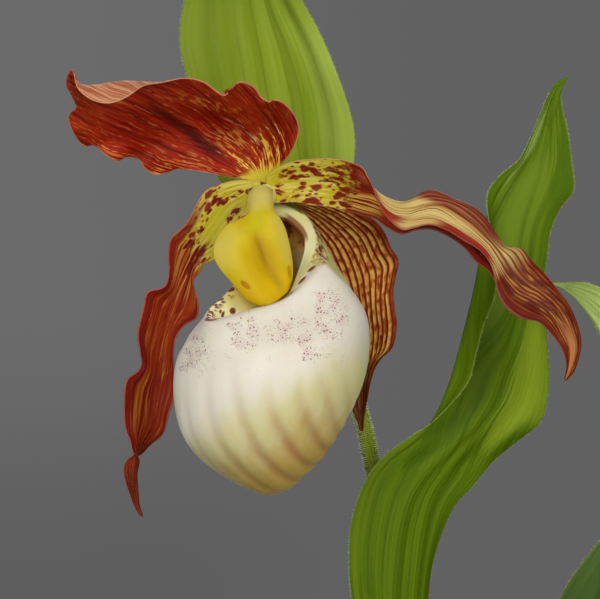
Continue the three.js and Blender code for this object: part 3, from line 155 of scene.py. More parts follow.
BRACT = (
    ((13.3, 24.3, -28), (7, 26, -19.5), (-1.8, 25, -10), (-8.5, 23, -1.2), (-12, 21.5, 3.8),
     (-15.5, 19.5, 11.2), (-17.8, 17.5, 19.2), (-18.8, 15.5, 26.8), (-20.5, 14, 33.8), (-20.5, 13, 40),
     (-19.4, 12, 46.2), (-16.5, 10, 56.2), (-12.5, 8.5, 65), (-6.2, 7, 75)),
    ((13.8, 25.7, -28), (8.5, 28, -18), (3.5, 27.5, -7), (-1, 26, 4), (-4.5, 24, 14), (-7, 21, 24),
     (-8.8, 18, 35), (-9.8, 15, 47), (-9, 11, 60), (-6, 7.1, 75)),
    ((16, 26.4, -28), (12.5, 28.6, -17), (8.2, 28, -4), (5.2, 25.5, 8.8), (3.2, 22, 21.2), (0.8, 18.5, 33.8),
     (-2, 15.5, 46.2), (-4, 11.5, 60), (-5.8, 7.2, 75)),
    ((18.2, 25.7, -28), (16.5, 27.5, -17), (15.5, 25.5, -4), (14.2, 22.5, 8.8), (13, 19, 21.2),
     (9.5, 16, 33.8), (4, 14, 46.2), (-0.5, 10.5, 60), (-5.6, 7.1, 75)),
    ((18.7, 24.3, -28), (18.6, 24.8, -18.2), (20.5, 22.5, -9.2), (22, 20, -1.2), (22.8, 18, 6.2),
     (22.8, 16, 13.8), (21.6, 14.5, 20), (19.5, 13, 26.8), (16.3, 12, 34.2), (12.7, 11, 40.8),
     (9.5, 10, 46.2), (5.5, 9, 55), (0.8, 8, 65), (-5.4, 7, 75)),
)
TOP_LEAF = (
    ((31.8, 21.5, -139), (30, 15, -130), (26, 8, -117.5), (22.8, 4, -105), (21.9, 2, -95), (22.4, 1, -84.9),
     (24.6, 1, -77.2), (27.6, 1, -71.6), (32, 1, -67), (37.2, 2, -63.5), (42.5, 2.5, -60),
     (47.5, 2.5, -54.8), (51.8, 2.5, -49.2), (54, 2.5, -41.8), (56.2, 3, -34.5), (58.5, 3.5, -28.8),
     (59.2, 4.5, -21.2), (58.5, 6, -15), (57, 8, -8.2), (57, 10, -1.8), (60.3, 12, 2.7), (65, 13.5, 6.4),
     (67.5, 14.5, 11.4), (69.8, 15.5, 17.2), (72.3, 16.5, 23.1), (74.6, 17, 26.4), (76.7, 17, 27.6)),
    ((32, 18, -139), (30.5, 12, -129), (28, 7, -117), (26, 4, -104), (25.5, 2.5, -94), (26.5, 2, -84),
     (29, 2.2, -75), (33, 2.8, -69.5), (38.8, 4, -65), (42.2, 5.5, -61), (45, 6.5, -55.8), (47.8, 7.5, -48),
     (50.8, 8.5, -37.5), (53.4, 9.5, -27), (55, 10.5, -18.5), (56.5, 11.5, -10), (59.5, 12.5, -3.5),
     (63, 14, 2), (66.5, 14.5, 7.5), (69.5, 15.5, 14), (72, 16.5, 20), (74.5, 17, 25), (76.8, 17.1, 27.6)),
    ((35, 16.2, -139), (34.2, 13, -129), (33.2, 9, -117.5), (32.8, 6.5, -105), (33.5, 5.5, -95),
     (35, 5, -85), (37.5, 5.5, -77.5), (42, 6.5, -71.2), (47.5, 8, -65.8), (53, 10, -60), (57, 12, -53.8),
     (59.5, 13, -45), (61.2, 14, -36.2), (62.5, 14.5, -27.5), (63.5, 14.5, -18.8), (65, 14.5, -10),
     (67.2, 15, -2.5), (69.8, 15.5, 5), (71.8, 16.5, 13.8), (73.2, 17, 21.2), (76.9, 17.2, 27.6)),
    ((37.6, 17.4, -139), (37, 15.5, -129), (37.8, 12.5, -117.5), (38.5, 10, -105), (39.5, 9, -95),
     (41, 9, -85), (43.5, 9.5, -77.5), (48, 10.5, -71.2), (53.5, 12, -65.8), (59, 14, -60),
     (63.5, 16.5, -53.8), (66, 18, -45), (66.5, 18.5, -36.2), (66.5, 18, -27.5), (67, 17, -18.8),
     (68.5, 16.2, -10), (71.5, 15.8, -2.5), (74, 15.8, 5), (74.2, 16.2, 13.8), (74.2, 16.8, 21.2),
     (77, 17.1, 27.6)),
    ((38.4, 20.5, -139), (39.2, 19.5, -130), (41, 17, -117.5), (42, 14.5, -105), (43, 13.5, -96.2),
     (45.5, 13.5, -87.5), (48.9, 13.5, -80.4), (53.5, 14.5, -75.5), (58.8, 16.5, -69.4), (64.7, 18.5, -64.5),
     (70.6, 21, -59.3), (72.6, 23, -51.5), (72.8, 24, -42.5), (72.2, 24, -33.8), (71.2, 21.5, -25),
     (72.2, 19, -17.2), (73, 17.5, -11.2), (75.6, 16.5, -5.4), (78.7, 15.5, -0.9), (78.2, 15.5, 6.2),
     (77.2, 15.8, 13.9), (75.7, 16.2, 20.5), (75.4, 16.8, 24), (77.1, 17, 27.6)),
)

# Lip: rings of its mouth (margin, crest, valley, brow and shoulder), ten places each from the front round by
# the right. Then ovals down to the toe: middle, half width, half depth, roll and nod.
MOUTH = (
    ((-2.6, -19, -35), (4.4, -17.5, -31.2), (7.8, -12, -24.8), (10.6, -4.4, -14.4), (8, 1.6, -10),
     (3.4, 4, -7.4), (0.6, -2, -20), (0.4, -9.6, -33), (-4.6, -14.6, -37), (-6.4, -18, -37.6)),
    ((-3, -24, -31.2), (5, -22, -28.6), (9.6, -15.5, -22.6), (13.6, -4.2, -13.8), (10.2, 3.2, -7),
     (2.8, 6.4, -4.6), (-1.6, 3, -17.5), (-8.8, -4.2, -27.2), (-12.8, -12.5, -31), (-12, -20.3, -33.4)),
    ((-3, -25.9, -31.3), (5.9, -24.2, -28.2), (12.4, -15.4, -21), (15.5, -3.2, -16.1), (12, 4.6, -8.6),
     (3.9, 7.9, -6.2), (-1.9, 4.4, -18.6), (-9.8, -3.4, -27.9), (-13.9, -12.8, -31.9), (-13, -21.8, -33.9)),
    ((-2.9, -27.3, -32), (6.8, -26, -28.4), (14.6, -18.8, -21.2), (17, -6, -18.8), (13.2, 4.2, -10.8),
     (5, 8.4, -8.4), (-2, 5.4, -20), (-10.6, -2.5, -29), (-14.6, -13, -33.2), (-13.6, -23, -35)),
    ((-2.6, -30, -36.5), (9.6, -27.8, -32), (19.6, -19.4, -25.4), (22, -9, -25.4), (16, 4.5, -19.8),
     (8, 9, -17), (-3.6, 7, -27), (-13.8, -2.6, -34.5), (-18.4, -15, -38.2), (-13.4, -26.2, -39)),
)
OVALS = (
    ((2.6, -12.5, -38.2), 24.2, 21.5, 12, 9),
    ((2.1, -13.5, -49.5), 24.3, 21.8, 8.5, 5),
    ((0.8, -15, -61.3), 20.2, 17.5, 6, 3),
    ((1.2, -15.5, -70.6), 12.4, 10.5, 4, 2),
)
TOE = (3, -15.5, -77.2)

# Uppermost leaf of the second shoot and the second stem, in millimetres from the pot's foot
SHOOT_TOP_LEAF = (
    ((58.3, 27.5, 328), (57, 22, 343), (54, 17.5, 358), (51.8, 15.5, 375), (50.4, 14.5, 392), (50, 14, 406),
     (49.2, 14.5, 416), (46, 15.5, 422.6), (44.4, 16, 426), (41.6, 17, 430.2), (38.2, 18.5, 433.8),
     (34.6, 20, 435.4)),
    ((58.8, 23.8, 328), (59, 18.5, 344), (58, 14.5, 360), (57, 12.5, 377), (56, 12, 394), (54.6, 12, 407.5),
     (51.4, 12.8, 417.6), (48.4, 14.2, 425), (45, 15.6, 429), (41, 17, 432.4), (37.8, 18.6, 434.4),
     (34.7, 20, 435.5)),
    ((61.2, 22.6, 328), (62.4, 18, 345), (63.2, 14.8, 362), (63.2, 13, 380), (61.6, 12.6, 396),
     (58.6, 12.8, 410), (54, 13.5, 420), (49.6, 14.8, 427.4), (44.6, 16.6, 431.6), (39.6, 18.4, 434.2),
     (34.8, 20, 435.5)),
    ((63.6, 23.8, 328), (66.4, 20, 345), (69.2, 17.2, 362), (70.4, 15.4, 380), (69.2, 14.8, 397),
     (65.4, 14.6, 411.4), (59.6, 14.8, 422.6), (52.8, 15.6, 429.8), (46.4, 16.8, 433), (40.6, 18.4, 435),
     (34.9, 20, 435.6)),
    ((64.1, 27.5, 328), (69.4, 25, 345), (74, 22, 362), (76.4, 19.5, 380), (75.6, 18, 397), (71.6, 17, 412),
     (65, 16.4, 424), (57, 16.2, 431.6), (51, 16.6, 433.8), (46.9, 17, 434.4), (43.5, 17.6, 435.6),
     (38.9, 19, 435.8), (35, 20, 435.6)),
)
SECOND_STEM = (
    (45, 22, 105), (46.5, 22.5, 150), (49.5, 24, 200), (53.5, 25, 250), (58, 26, 300), (62, 26, 345),
    (64, 26, 372),
)

# Curves and surface grids, in the forms of the solids

def spline(points, t, closed=False):
    """Centripetal Catmull-Rom through points (k, ..., 3), read at t from 0 to 1."""
    p = np.asarray(points, float)
    k = len(p)
    t = np.asarray(t, float)
    if closed:
        x = t * k
        i = np.floor(x).astype(int)
        w = x - i
        q = [p[(i + d) % k] for d in (-1, 0, 1, 2)]
    else:
        x = np.clip(t, 0, 1) * (k - 1)
        i = np.minimum(x.astype(int), k - 2)
        w = x - i
        e = np.concatenate([[2 * p[0] - p[1]], p, [2 * p[-1] - p[-2]]])
        q = [e[i + d] for d in range(4)]
    d = [np.sqrt(np.linalg.norm(q[j + 1] - q[j], axis=-1, keepdims=True)) for j in range(3)]
    d[1] = np.where(d[1] < 1e-4, 1, d[1])
    d[0] = np.where(d[0] < 1e-4, d[1], d[0])
    d[2] = np.where(d[2] < 1e-4, d[1], d[2])
    a = ((q[1] - q[0]) / d[0] - (q[2] - q[0]) / (d[0] + d[1]) + (q[2] - q[1]) / d[1]) * d[1]
    b = ((q[2] - q[1]) / d[1] - (q[3] - q[1]) / (d[1] + d[2]) + (q[3] - q[2]) / d[2]) * d[1]
    w = w.reshape(w.shape + (1,) * (q[0].ndim - w.ndim))
    return q[1] + a * w + (3 * (q[2] - q[1]) - 2 * a - b) * w**2 + (2 * (q[1] - q[2]) + a + b) * w**3


def evenly(points, n):
    """n + 1 places evenly along the curve through points."""
    t = np.linspace(0, 1, 201)
    steps = np.linalg.norm(np.diff(spline(points, t), axis=0), axis=1)
    run = np.concatenate([[0], np.cumsum(steps)])
    return spline(points, np.interp(np.linspace(0, run[-1], n + 1), run, t))


def smooth(a, b, x):
    """Rises softly from 0 at a to 1 at b."""
    t = np.clip((np.asarray(x, float) - a) / (b - a), 0, 1)
    return t * t * (3 - 2 * t)


def unit(vectors):
    """The same directions with length 1."""
    return vectors / np.maximum(np.linalg.norm(vectors, axis=-1, keepdims=True), 1e-9)


def normals_of(grid):
    along = np.empty_like(grid)
    across = np.empty_like(grid)
    along[1:-1] = grid[2:] - grid[:-2]
    along[0], along[-1] = grid[1] - grid[0], grid[-1] - grid[-2]
    across[:, 1:-1] = grid[:, 2:] - grid[:, :-2]
    across[:, 0], across[:, -1] = grid[:, 1] - grid[:, 0], grid[:, -1] - grid[:, -2]
    return unit(np.cross(along, across))


def uv_of(grid):
    """Place along and across, each from 0 to 1, for every point of a grid."""
    rows, cols = grid.shape[:2]
    return np.meshgrid(np.linspace(0, 1, rows), np.linspace(0, 1, cols), indexing="ij")


def rail_grid(rails, rows, cols, relief=None, origin=(0, 0, 0)):
    """Surface through rails, with relief(u, v) raised along its normals."""
    lines = np.stack([evenly(r, rows) for r in rails]) + np.array(origin)
    grid = spline(lines, np.linspace(0, 1, cols + 1)).transpose(1, 0, 2)
    if relief is not None:
        grid = grid + normals_of(grid) * relief(*uv_of(grid))[..., None]
    return grid


def margin_wave(u, v, waves, power, shift):
    """Waves along both margins that die away towards the middle, shifted along the second margin."""
    return np.abs(2 * v - 1) ** power * np.sin(2 * np.pi * waves * u + np.where(v > 0.5, shift, 0))


def pleats(depth, wave=0.0, waves=3):
    """Relief of a leaf: pleats of a depth, and margins with waves."""
    def relief(u, v):
        fold = np.cos(2 * np.pi * PLEATS * v)
        body = depth * smooth(0.05, 0.3, u) * (1 - smooth(0.8, 1, u)) * fold
        return body + wave * smooth(0.2, 0.5, u) * margin_wave(u, v, waves, 3, 1.3)
    return relief


def petal_wave(depth, waves):
    return lambda u, v: depth * smooth(0, 0.25, u) * margin_wave(u, v, waves, 2, 2)


def point_on(path, height):
    """The place on a stem at a height."""
    places = spline(path, np.linspace(0, 1, 401))
    best = places[np.argmin(np.abs(places[:, 2] - height))]
    return np.array((best[0], best[1], height))


def leaf_rails(path, height, azimuth, roll, sway, reach, widths, opening):
    """Five rails of a leaf: a sheath round the stem that opens into a blade along reach."""
    turn = math.radians(azimuth)
    out = np.array((math.cos(turn), math.sin(turn), 0))
    aside = np.array((-math.sin(turn), math.cos(turn), 0))
    up = np.array((0, 0, 1.0))
    root = point_on(path, height)
    reach = np.array([(r, 0, h) for r, h in reach], float)
    spine = evenly(reach, 8)
    slopes = evenly(reach, 8000)
    stations = np.linspace(0, 1, 9)
    rails = [[] for _ in range(5)]
    for j, u in enumerate(stations):
        k = min(max(int(u * 8000), 1), 7999)
        slope = unit(slopes[k + 1] - slopes[k - 1])
        half = np.interp(u, stations, widths)
        arc = math.radians(np.interp(u, stations, opening)) / 2
        radius = half / arc
        inward = -out * slope[2] + up * slope[0]
        tangent = out * slope[0] + up * slope[2]
        centre = root + out * spine[j][0] + up * spine[j][2] + aside * sway * u * u
        spin = Matrix.Rotation(math.radians(roll) * u, 3, Vector(tangent))
        for i, f in enumerate((-1, -0.5, 0, 0.5, 1)):
            across = aside * radius * math.sin(f * arc) + inward * radius * (1 - math.cos(f * arc))
            rails[i].append(centre + np.array(spin @ Vector(across)))
    return rails


# Mesh pieces

def new_mesh(name, verts, quads, tris=None, attrs=None, smooth_faces=True):
    """A mesh object from vertices in millimetres and faces as index arrays."""
    me = bpy.data.meshes.new(name)
    verts = np.asarray(verts, np.float32) * MM
    quads = np.asarray(quads, np.int32).reshape(-1, 4)
    tris = np.zeros((0, 3), np.int32) if tris is None else np.asarray(tris, np.int32).reshape(-1, 3)
    me.vertices.add(len(verts))
    me.vertices.foreach_set("co", verts.ravel())
    loops = np.concatenate([quads.ravel(), tris.ravel()])
    sizes = np.concatenate([np.full(len(quads), 4), np.full(len(tris), 3)])
    me.loops.add(len(loops))
    me.loops.foreach_set("vertex_index", loops)
    me.polygons.add(len(sizes))
    me.polygons.foreach_set("loop_start", np.concatenate([[0], np.cumsum(sizes)[:-1]]).astype(np.int32))
    me.polygons.foreach_set("use_smooth", np.full(len(sizes), smooth_faces))
    for key, values in (attrs or {}).items():
        layer = me.attributes.new(key, "FLOAT_VECTOR", "POINT")
        layer.data.foreach_set("vector", np.asarray(values, np.float32).ravel())
    me.update()
    me.validate()
    obj = bpy.data.objects.new(name, me)
    scene.collection.objects.link(obj)
    return obj


def place(obj, material, slot, *nodes):
    """Gives a piece its material and body, and hides the nodes that it replaces. Its slot is not used."""
    obj.data.materials.append(material)
    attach(obj, "root")
    if nodes:
        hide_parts(*nodes)
    return obj


def mid_length(grid):
    """Distance along the middle and half width, in millimetres, at every place of a grid."""
    middle = grid[:, grid.shape[1] // 2]
    run = np.concatenate([[0], np.cumsum(np.linalg.norm(np.diff(middle, axis=0), axis=1))])
    steps = np.linalg.norm(np.diff(grid, axis=1), axis=2)
    width = np.concatenate([np.zeros((len(grid), 1)), np.cumsum(steps, axis=1)], axis=1)
    width -= width[:, -1:] / 2
    return np.broadcast_to(run[:, None], width.shape), width


def wrapped(rows, count):
    """Faces between rows of count points, each row closed round."""
    j, i = np.meshgrid(np.arange(rows - 1), np.arange(count), indexing="ij")
    a = (j * count + i).ravel()
    b = (j * count + (i + 1) % count).ravel()
    return np.stack([a, b, b + count, a + count], 1)


def blade(name, grid, thick, edge=0.16, facing=1):
    """A closed thin body round a grid, thinner at its margin, with its pattern coordinates.
    facing is -1 where the face that opens to the viewer is the one against the grid's normals."""
    rows, cols = grid.shape[:2]
    n = normals_of(grid)
    u, v = uv_of(grid)
    run, across = mid_length(grid)
    away = np.minimum(np.minimum(v, 1 - v) * 2 * np.abs(across[:, :1]), 1.5) / 1.5
    half = (edge + (thick - edge) * np.sqrt(away))[..., None] / 2
    verts = np.concatenate([(grid + n * half).reshape(-1, 3), (grid - n * half).reshape(-1, 3)])
    j, i = np.meshgrid(np.arange(rows - 1), np.arange(cols - 1), indexing="ij")
    a = (j * cols + i).ravel()
    top = np.stack([a, a + cols, a + cols + 1, a + 1], 1)
    low = top[:, ::-1] + rows * cols
    ring = np.concatenate([
        np.arange(cols - 1), np.arange(rows - 1) * cols + cols - 1,
        (rows - 1) * cols + np.arange(cols - 1, 0, -1), np.arange(rows - 1, 0, -1) * cols,
    ])
    after = np.roll(ring, -1)
    rim = np.stack([ring, after, after + rows * cols, ring + rows * cols], 1)
    side = np.concatenate([np.full(rows * cols, facing > 0), np.full(rows * cols, facing < 0)]).astype(float)
    pat = np.stack([np.tile(u.ravel(), 2), np.tile(v.ravel(), 2), side], 1)
    mm = np.stack([np.tile(run.ravel(), 2), np.tile(across.ravel(), 2), side * 0], 1)
    return new_mesh(name, verts, np.concatenate([top, low, rim]), attrs={"pat": pat, "mm": mm})


def tube(name, points, radius, sides, steps, relief=None):
    """A round body along a path with domed ends. radius(u) and relief(u, turn) in millimetres."""
    path = evenly(points, steps)
    tangent = unit(np.gradient(path, axis=0))
    side = np.cross(tangent[0], (0.3, 1, 0.2))
    turn = np.linspace(0, 2 * np.pi, sides, endpoint=False)
    rings = []
    for j in range(steps + 1):
        side = unit(side - tangent[j] * side.dot(tangent[j]))
        other = np.cross(tangent[j], side)
        r = radius(j / steps) + (relief(j / steps, turn) if relief else 0)
        rings.append(path[j] + (np.cos(turn) * r)[:, None] * side + (np.sin(turn) * r)[:, None] * other)
    ends = [path[0] - tangent[0] * radius(0) * 0.3, path[-1] + tangent[-1] * radius(1) * 0.3]
    u = np.linspace(0, 1, steps + 1)
    length = np.linalg.norm(np.diff(path, axis=0), axis=1).sum()
    return lathe(name, np.array(rings), ends, u, length)


def lathe(name, rings, ends, u, length=1.0):
    """Rings of points joined up, with a pole at each end and their places u along the piece."""
    n, m = rings.shape[:2]
    k = np.arange(m)
    k2 = (k + 1) % m
    last = (n - 1) * m
    first_cap = np.stack([k2, k, k * 0 + n * m], 1)
    last_cap = np.stack([k + last, k2 + last, k * 0 + n * m + 1], 1)
    tris = np.concatenate([first_cap, last_cap])
    v = np.broadcast_to(np.linspace(0, 1, m, endpoint=False), (n, m)).ravel()
    uu = np.broadcast_to(np.asarray(u)[:, None], (n, m)).ravel()
    pat = np.stack([np.append(uu, (u[0], u[-1])), np.append(v, (0, 0)), np.ones(n * m + 2)], 1)
    verts = np.concatenate([rings.reshape(-1, 3), np.array(ends)])
    return new_mesh(name, verts, wrapped(n, m), tris, {"pat": pat, "mm": pat * (length, length, 0)})


def hairs(name, roots, ways, lengths, width):
    """Fine tapering hairs, each a three-sided sliver from its root."""
    ways = unit(ways)
    side = unit(np.cross(ways, (0.31, 0.52, 0.8)))
    other = np.cross(ways, side)
    base = [roots + width * (side * math.cos(a) + other * math.sin(a)) for a in (0, 2.094, 4.189)]
    verts = np.stack(base + [roots + ways * lengths[:, None]], 1).reshape(-1, 3)
    k = np.arange(len(roots))[:, None] * 4
    tris = np.concatenate([k + (0, 1, 3), k + (1, 2, 3), k + (2, 0, 3)])
    return new_mesh(name, verts, np.zeros((0, 4)), tris, smooth_faces=False)


# Materials: sockets that arithmetic can be written with

def rgb(r, g, b):
    """A colour as seen, each part from 0 to 255, as linear light."""
    def linear(c):
        c /= 255
        return c / 12.92 if c <= 0.04045 else ((c + 0.055) / 1.055) ** 2.4
    return (linear(r), linear(g), linear(b), 1.0)


def put(tree, socket, value):
    """Links or sets an input."""
    if isinstance(value, Sock):
        tree.links.new(value.out, socket)
    else:
        socket.default_value = value


class Sock:
    """An output of a material's nodes, for arithmetic."""
    def __init__(self, tree, out):
        self.tree, self.out = tree, out

    def op(self, name, *rest, swap=False):
        node = self.tree.nodes.new("ShaderNodeMath")
        node.operation = name
        args = [self, *rest][::-1] if swap else [self, *rest]
        for socket, value in zip(node.inputs, args):
            put(self.tree, socket, value)
        return Sock(self.tree, node.outputs[0])

    def __add__(self, b):
        return self.op("ADD", b)

    def __sub__(self, b):
        return self.op("SUBTRACT", b)

    def __mul__(self, b):
        return self.op("MULTIPLY", b)

    def __rsub__(self, b):
        return self.op("SUBTRACT", b, swap=True)

    __radd__ = __add__
    __rmul__ = __mul__

    def abs(self):
        return self.op("ABSOLUTE")

    def sin(self):
        return self.op("SINE")

    def above(self, lo, hi):
        return between(self, lo, hi)

    def below(self, lo, hi):
        return between(self, lo, hi, 1.0, 0.0)


def between(x, lo, hi, a=0.0, b=1.0):
    """Goes softly from a to b while x goes from lo to hi."""
    node = x.tree.nodes.new("ShaderNodeMapRange")
    node.interpolation_type = "SMOOTHSTEP"
    for socket, value in zip(node.inputs, (x, lo, hi, a, b)):
        put(x.tree, socket, value)
    return Sock(x.tree, node.outputs[0])


def parts(tree, socket):
    """The three parts of a vector."""
    node = tree.nodes.new("ShaderNodeSeparateXYZ")
    tree.links.new(socket, node.inputs[0])
    return [Sock(tree, out) for out in node.outputs]


def mix(tree, fac, a, b):
    """The colour a under the share fac of colour b."""
    node = tree.nodes.new("ShaderNodeMix")
    node.data_type = "RGBA"
    for socket, value in ((0, fac), (6, a), (7, b)):
        put(tree, node.inputs[socket], value)
    return Sock(tree, node.outputs[2])


class Paint:
    """One procedural material: its coordinates, noises and mixes, and its shader."""
    def __init__(self, name, roughness=0.5, **settings):
        self.material = bpy.data.materials.new(name)
        self.material.use_nodes = True
        self.tree = self.material.node_tree
        self.shader = next(n for n in self.tree.nodes if n.type == "BSDF_PRINCIPLED")
        self.shader.inputs["Roughness"].default_value = roughness
        for key, value in settings.items():
            self.shader.inputs[key.replace("_", " ")].default_value = value

    def attribute(self, name):
        node = self.tree.nodes.new("ShaderNodeAttribute")
        node.attribute_name = name
        return parts(self.tree, node.outputs["Vector"])

    def place(self, scale=1.0):
        node = self.tree.nodes.new("ShaderNodeTexCoord")
        return [part * scale for part in parts(self.tree, node.outputs["Object"])]

    def vector(self, x, y=0.0, z=0.0):
        node = self.tree.nodes.new("ShaderNodeCombineXYZ")
        for socket, value in zip(node.inputs, (x, y, z)):
            put(self.tree, socket, value)
        return Sock(self.tree, node.outputs[0])

    def noise(self, x, y=0.0, z=0.0, detail=2.0, rough=0.5):
        node = self.tree.nodes.new("ShaderNodeTexNoise")
        put(self.tree, node.inputs["Vector"], self.vector(x, y, z))
        node.inputs["Scale"].default_value = 1.0
        node.inputs["Detail"].default_value = detail
        node.inputs["Roughness"].default_value = rough
        return Sock(self.tree, node.outputs[0])

    def grain(self, scale, upright=None, detail=2.0, rough=0.5):
        """Noise through space, scale for each millimetre, with its own scale along z where given."""
        x, y, z = self.place(1000)
        return self.noise(x * scale, y * scale, z * (upright or scale), detail=detail, rough=rough)

    def cells(self, x, y=0.0, z=0.0):
        node = self.tree.nodes.new("ShaderNodeTexVoronoi")
        put(self.tree, node.inputs["Vector"], self.vector(x, y, z))
        node.inputs["Scale"].default_value = 1.0
        return Sock(self.tree, node.outputs["Distance"])

    def mix(self, fac, a, b):
        return mix(self.tree, fac, a, b)

    def blot(self, x, y, wide, high):
        """1 inside an oval round the origin, falling off at its edge."""
        x, y = x * (1 / wide), y * (1 / high)
        return (x * x + y * y).below(0.4, 1.6)

    def coat(self, colour, fac=None):
        """Lays a colour over what is there, all of it or the share fac."""
        self.colour = colour if fac is None else self.mix(fac, self.colour, colour)

    def finish(self, colour, height=None, distance=0.0001, strength=0.5):
        """Gives the shader its colour, and a bump of height where there is one."""
        put(self.tree, self.shader.inputs["Base Color"], colour)
        if height is not None:
            bump = self.tree.nodes.new("ShaderNodeBump")
            bump.inputs["Strength"].default_value = strength
            bump.inputs["Distance"].default_value = distance
            put(self.tree, bump.inputs["Height"], height)
            self.tree.links.new(bump.outputs[0], self.shader.inputs["Normal"])
        return self.material


# Lip: rings round the pouch from its mouth's margin down to the toe

# Folds of the lower pouch: a place on their axis and its direction, their number, and in degrees round it the
# middle of one fold, where they are deepest and how far that reaches
FOLD_AXIS = ((14.0, 0.0, -39.7), (0.25, 0.04, -0.97))
FOLD_COUNT = 33
FOLD_START = 124.5
FOLD_DEEPEST = 112
FOLD_REACH = 20


def folds(grid):
    """Soft folds of the lower pouch round a slanting axis: 1 at the bottom of a fold, 0 between them."""
    at, way = [np.array(v) for v in FOLD_AXIS]
    way = unit(way)
    first = unit(np.cross(way, (0, 1, 0)))
    rest = grid - at
    x, y = rest @ first, rest @ np.cross(way, first)
    angle = np.arctan2(y, x)
    line = (0.5 + 0.5 * np.cos(FOLD_COUNT * (angle - np.radians(FOLD_START)))) ** 2
    some = 0.45 + 0.75 * np.exp(-(((np.degrees(angle) - FOLD_DEEPEST) / FOLD_REACH) ** 2))
    low = smooth(43, 60, -grid[..., 2] + 3 * np.sin(8 * angle + 2))
    return line * some * low * smooth(5, 14, np.hypot(x, y))


def oval(turn, centre, half_width, half_depth, roll, nod):
    angle = 2 * np.pi * turn
    flat = np.stack([half_width * np.sin(angle), -half_depth * np.cos(angle), 0 * angle], 1)
    spin = Matrix.Rotation(math.radians(nod), 3, "X") @ Matrix.Rotation(-math.radians(roll), 3, "Y")
    return flat @ np.array(spin).T + centre


def lip_rings(rows, segments):
    """The pouch's outer skin, its inward normals, the way down it, and where each row and place lies."""
    turn = np.arange(segments) / segments
    sections = [spline(ring, turn, closed=True) for ring in MOUTH]
    sections += [oval(turn, *form) for form in OVALS]
    sections += [np.broadcast_to(TOE, (segments, 3)), oval(turn + 0.5, *OVALS[-1])]
    end = (len(sections) - 2) / (len(sections) - 1)
    t = np.arange(rows) / rows
    grid = spline(np.stack(sections), end * t)
    down = np.gradient(grid, axis=0)
    around = np.roll(grid, -1, axis=1) - np.roll(grid, 1, axis=1)
    n = unit(np.cross(down, around))
    outer = grid - n * (POUCH["foldDepth"] * folds(grid))[..., None] + FLOWER
    return outer, n, unit(down), t, turn


def make_lip(rows=140, segments=220):
    outer, n, down, t, turn = lip_rings(rows, segments)
    wall = POUCH["wall"]
    inner = outer - n * wall
    rim = (outer[0] + inner[0]) / 2 - down[0] * POUCH["rimDrop"]
    toe = np.array(TOE) + FLOWER
    verts = np.concatenate([outer.reshape(-1, 3), inner.reshape(-1, 3), rim, [toe, toe + (0, 0, wall)]])
    count = rows * segments
    skin = wrapped(rows, segments)[:, [0, 3, 2, 1]]
    k = np.arange(segments)
    k2 = (k + 1) % segments
    edge = 2 * count
    quads = np.concatenate([
        skin, skin[:, ::-1] + count,
        np.stack([k, k2, k2 + edge, k + edge], 1), np.stack([k + edge, k2 + edge, k2 + count, k + count], 1),
    ])
    last = (rows - 1) * segments
    tris = np.concatenate([
        np.stack([k + last, k * 0 + edge + segments, k2 + last], 1),
        np.stack([k + last + count, k2 + last + count, k * 0 + edge + segments + 1], 1),
    ])
    tt, kk = np.meshgrid(t, turn, indexing="ij")
    side = np.concatenate([np.ones(count), np.zeros(count), np.full(segments, 0.5), (1, 0)])
    pat = np.stack([
        np.concatenate([kk.ravel(), kk.ravel(), turn, (0, 0)]),
        np.concatenate([tt.ravel(), tt.ravel(), turn * 0, (1, 1)]), side,
    ], 1)
    fold = folds(verts - FLOWER)
    return new_mesh("lip_skin", verts, quads, tris, {"pat": pat, "fold": np.stack([fold, fold, fold], 1)})


# Markings of the flower

def margins(v, low, high):
    """1 along both margins of a blade."""
    return (v * 2 - 1).abs().above(low, high)


def band(x, low, high, soft=0.02):
    """1 where x is between low and high, with soft ends."""
    return x.above(low - soft, low + soft) * x.below(high - soft, high + soft)


# Colours of the pouch towards its toe, the heights between which each sets in, and its share
YELLOWING = (
    (rgb(214, 204, 144), -61, -47, 0.92), (rgb(202, 170, 90), -72, -59, 0.92),
    (rgb(176, 140, 50), -84, -69, 0.9),
)
# Clusters of speckles: x, z, half width, half height
CLUSTERS = ((-16, -42, 3.2, 7), (-4, -37, 4, 5), (7, -35.5, 6, 4), (17.5, -33, 4.5, 7), (12.5, -41, 3, 3.5))
# Ovals on the mouth's flap and on the petals: place along and across, half width, half height
FLAP_SPOTS = ((0.748, 0.058, 0.014, 0.007), (0.797, 0.064, 0.026, 0.004), (0.785, 0.075, 0.01, 0.004))


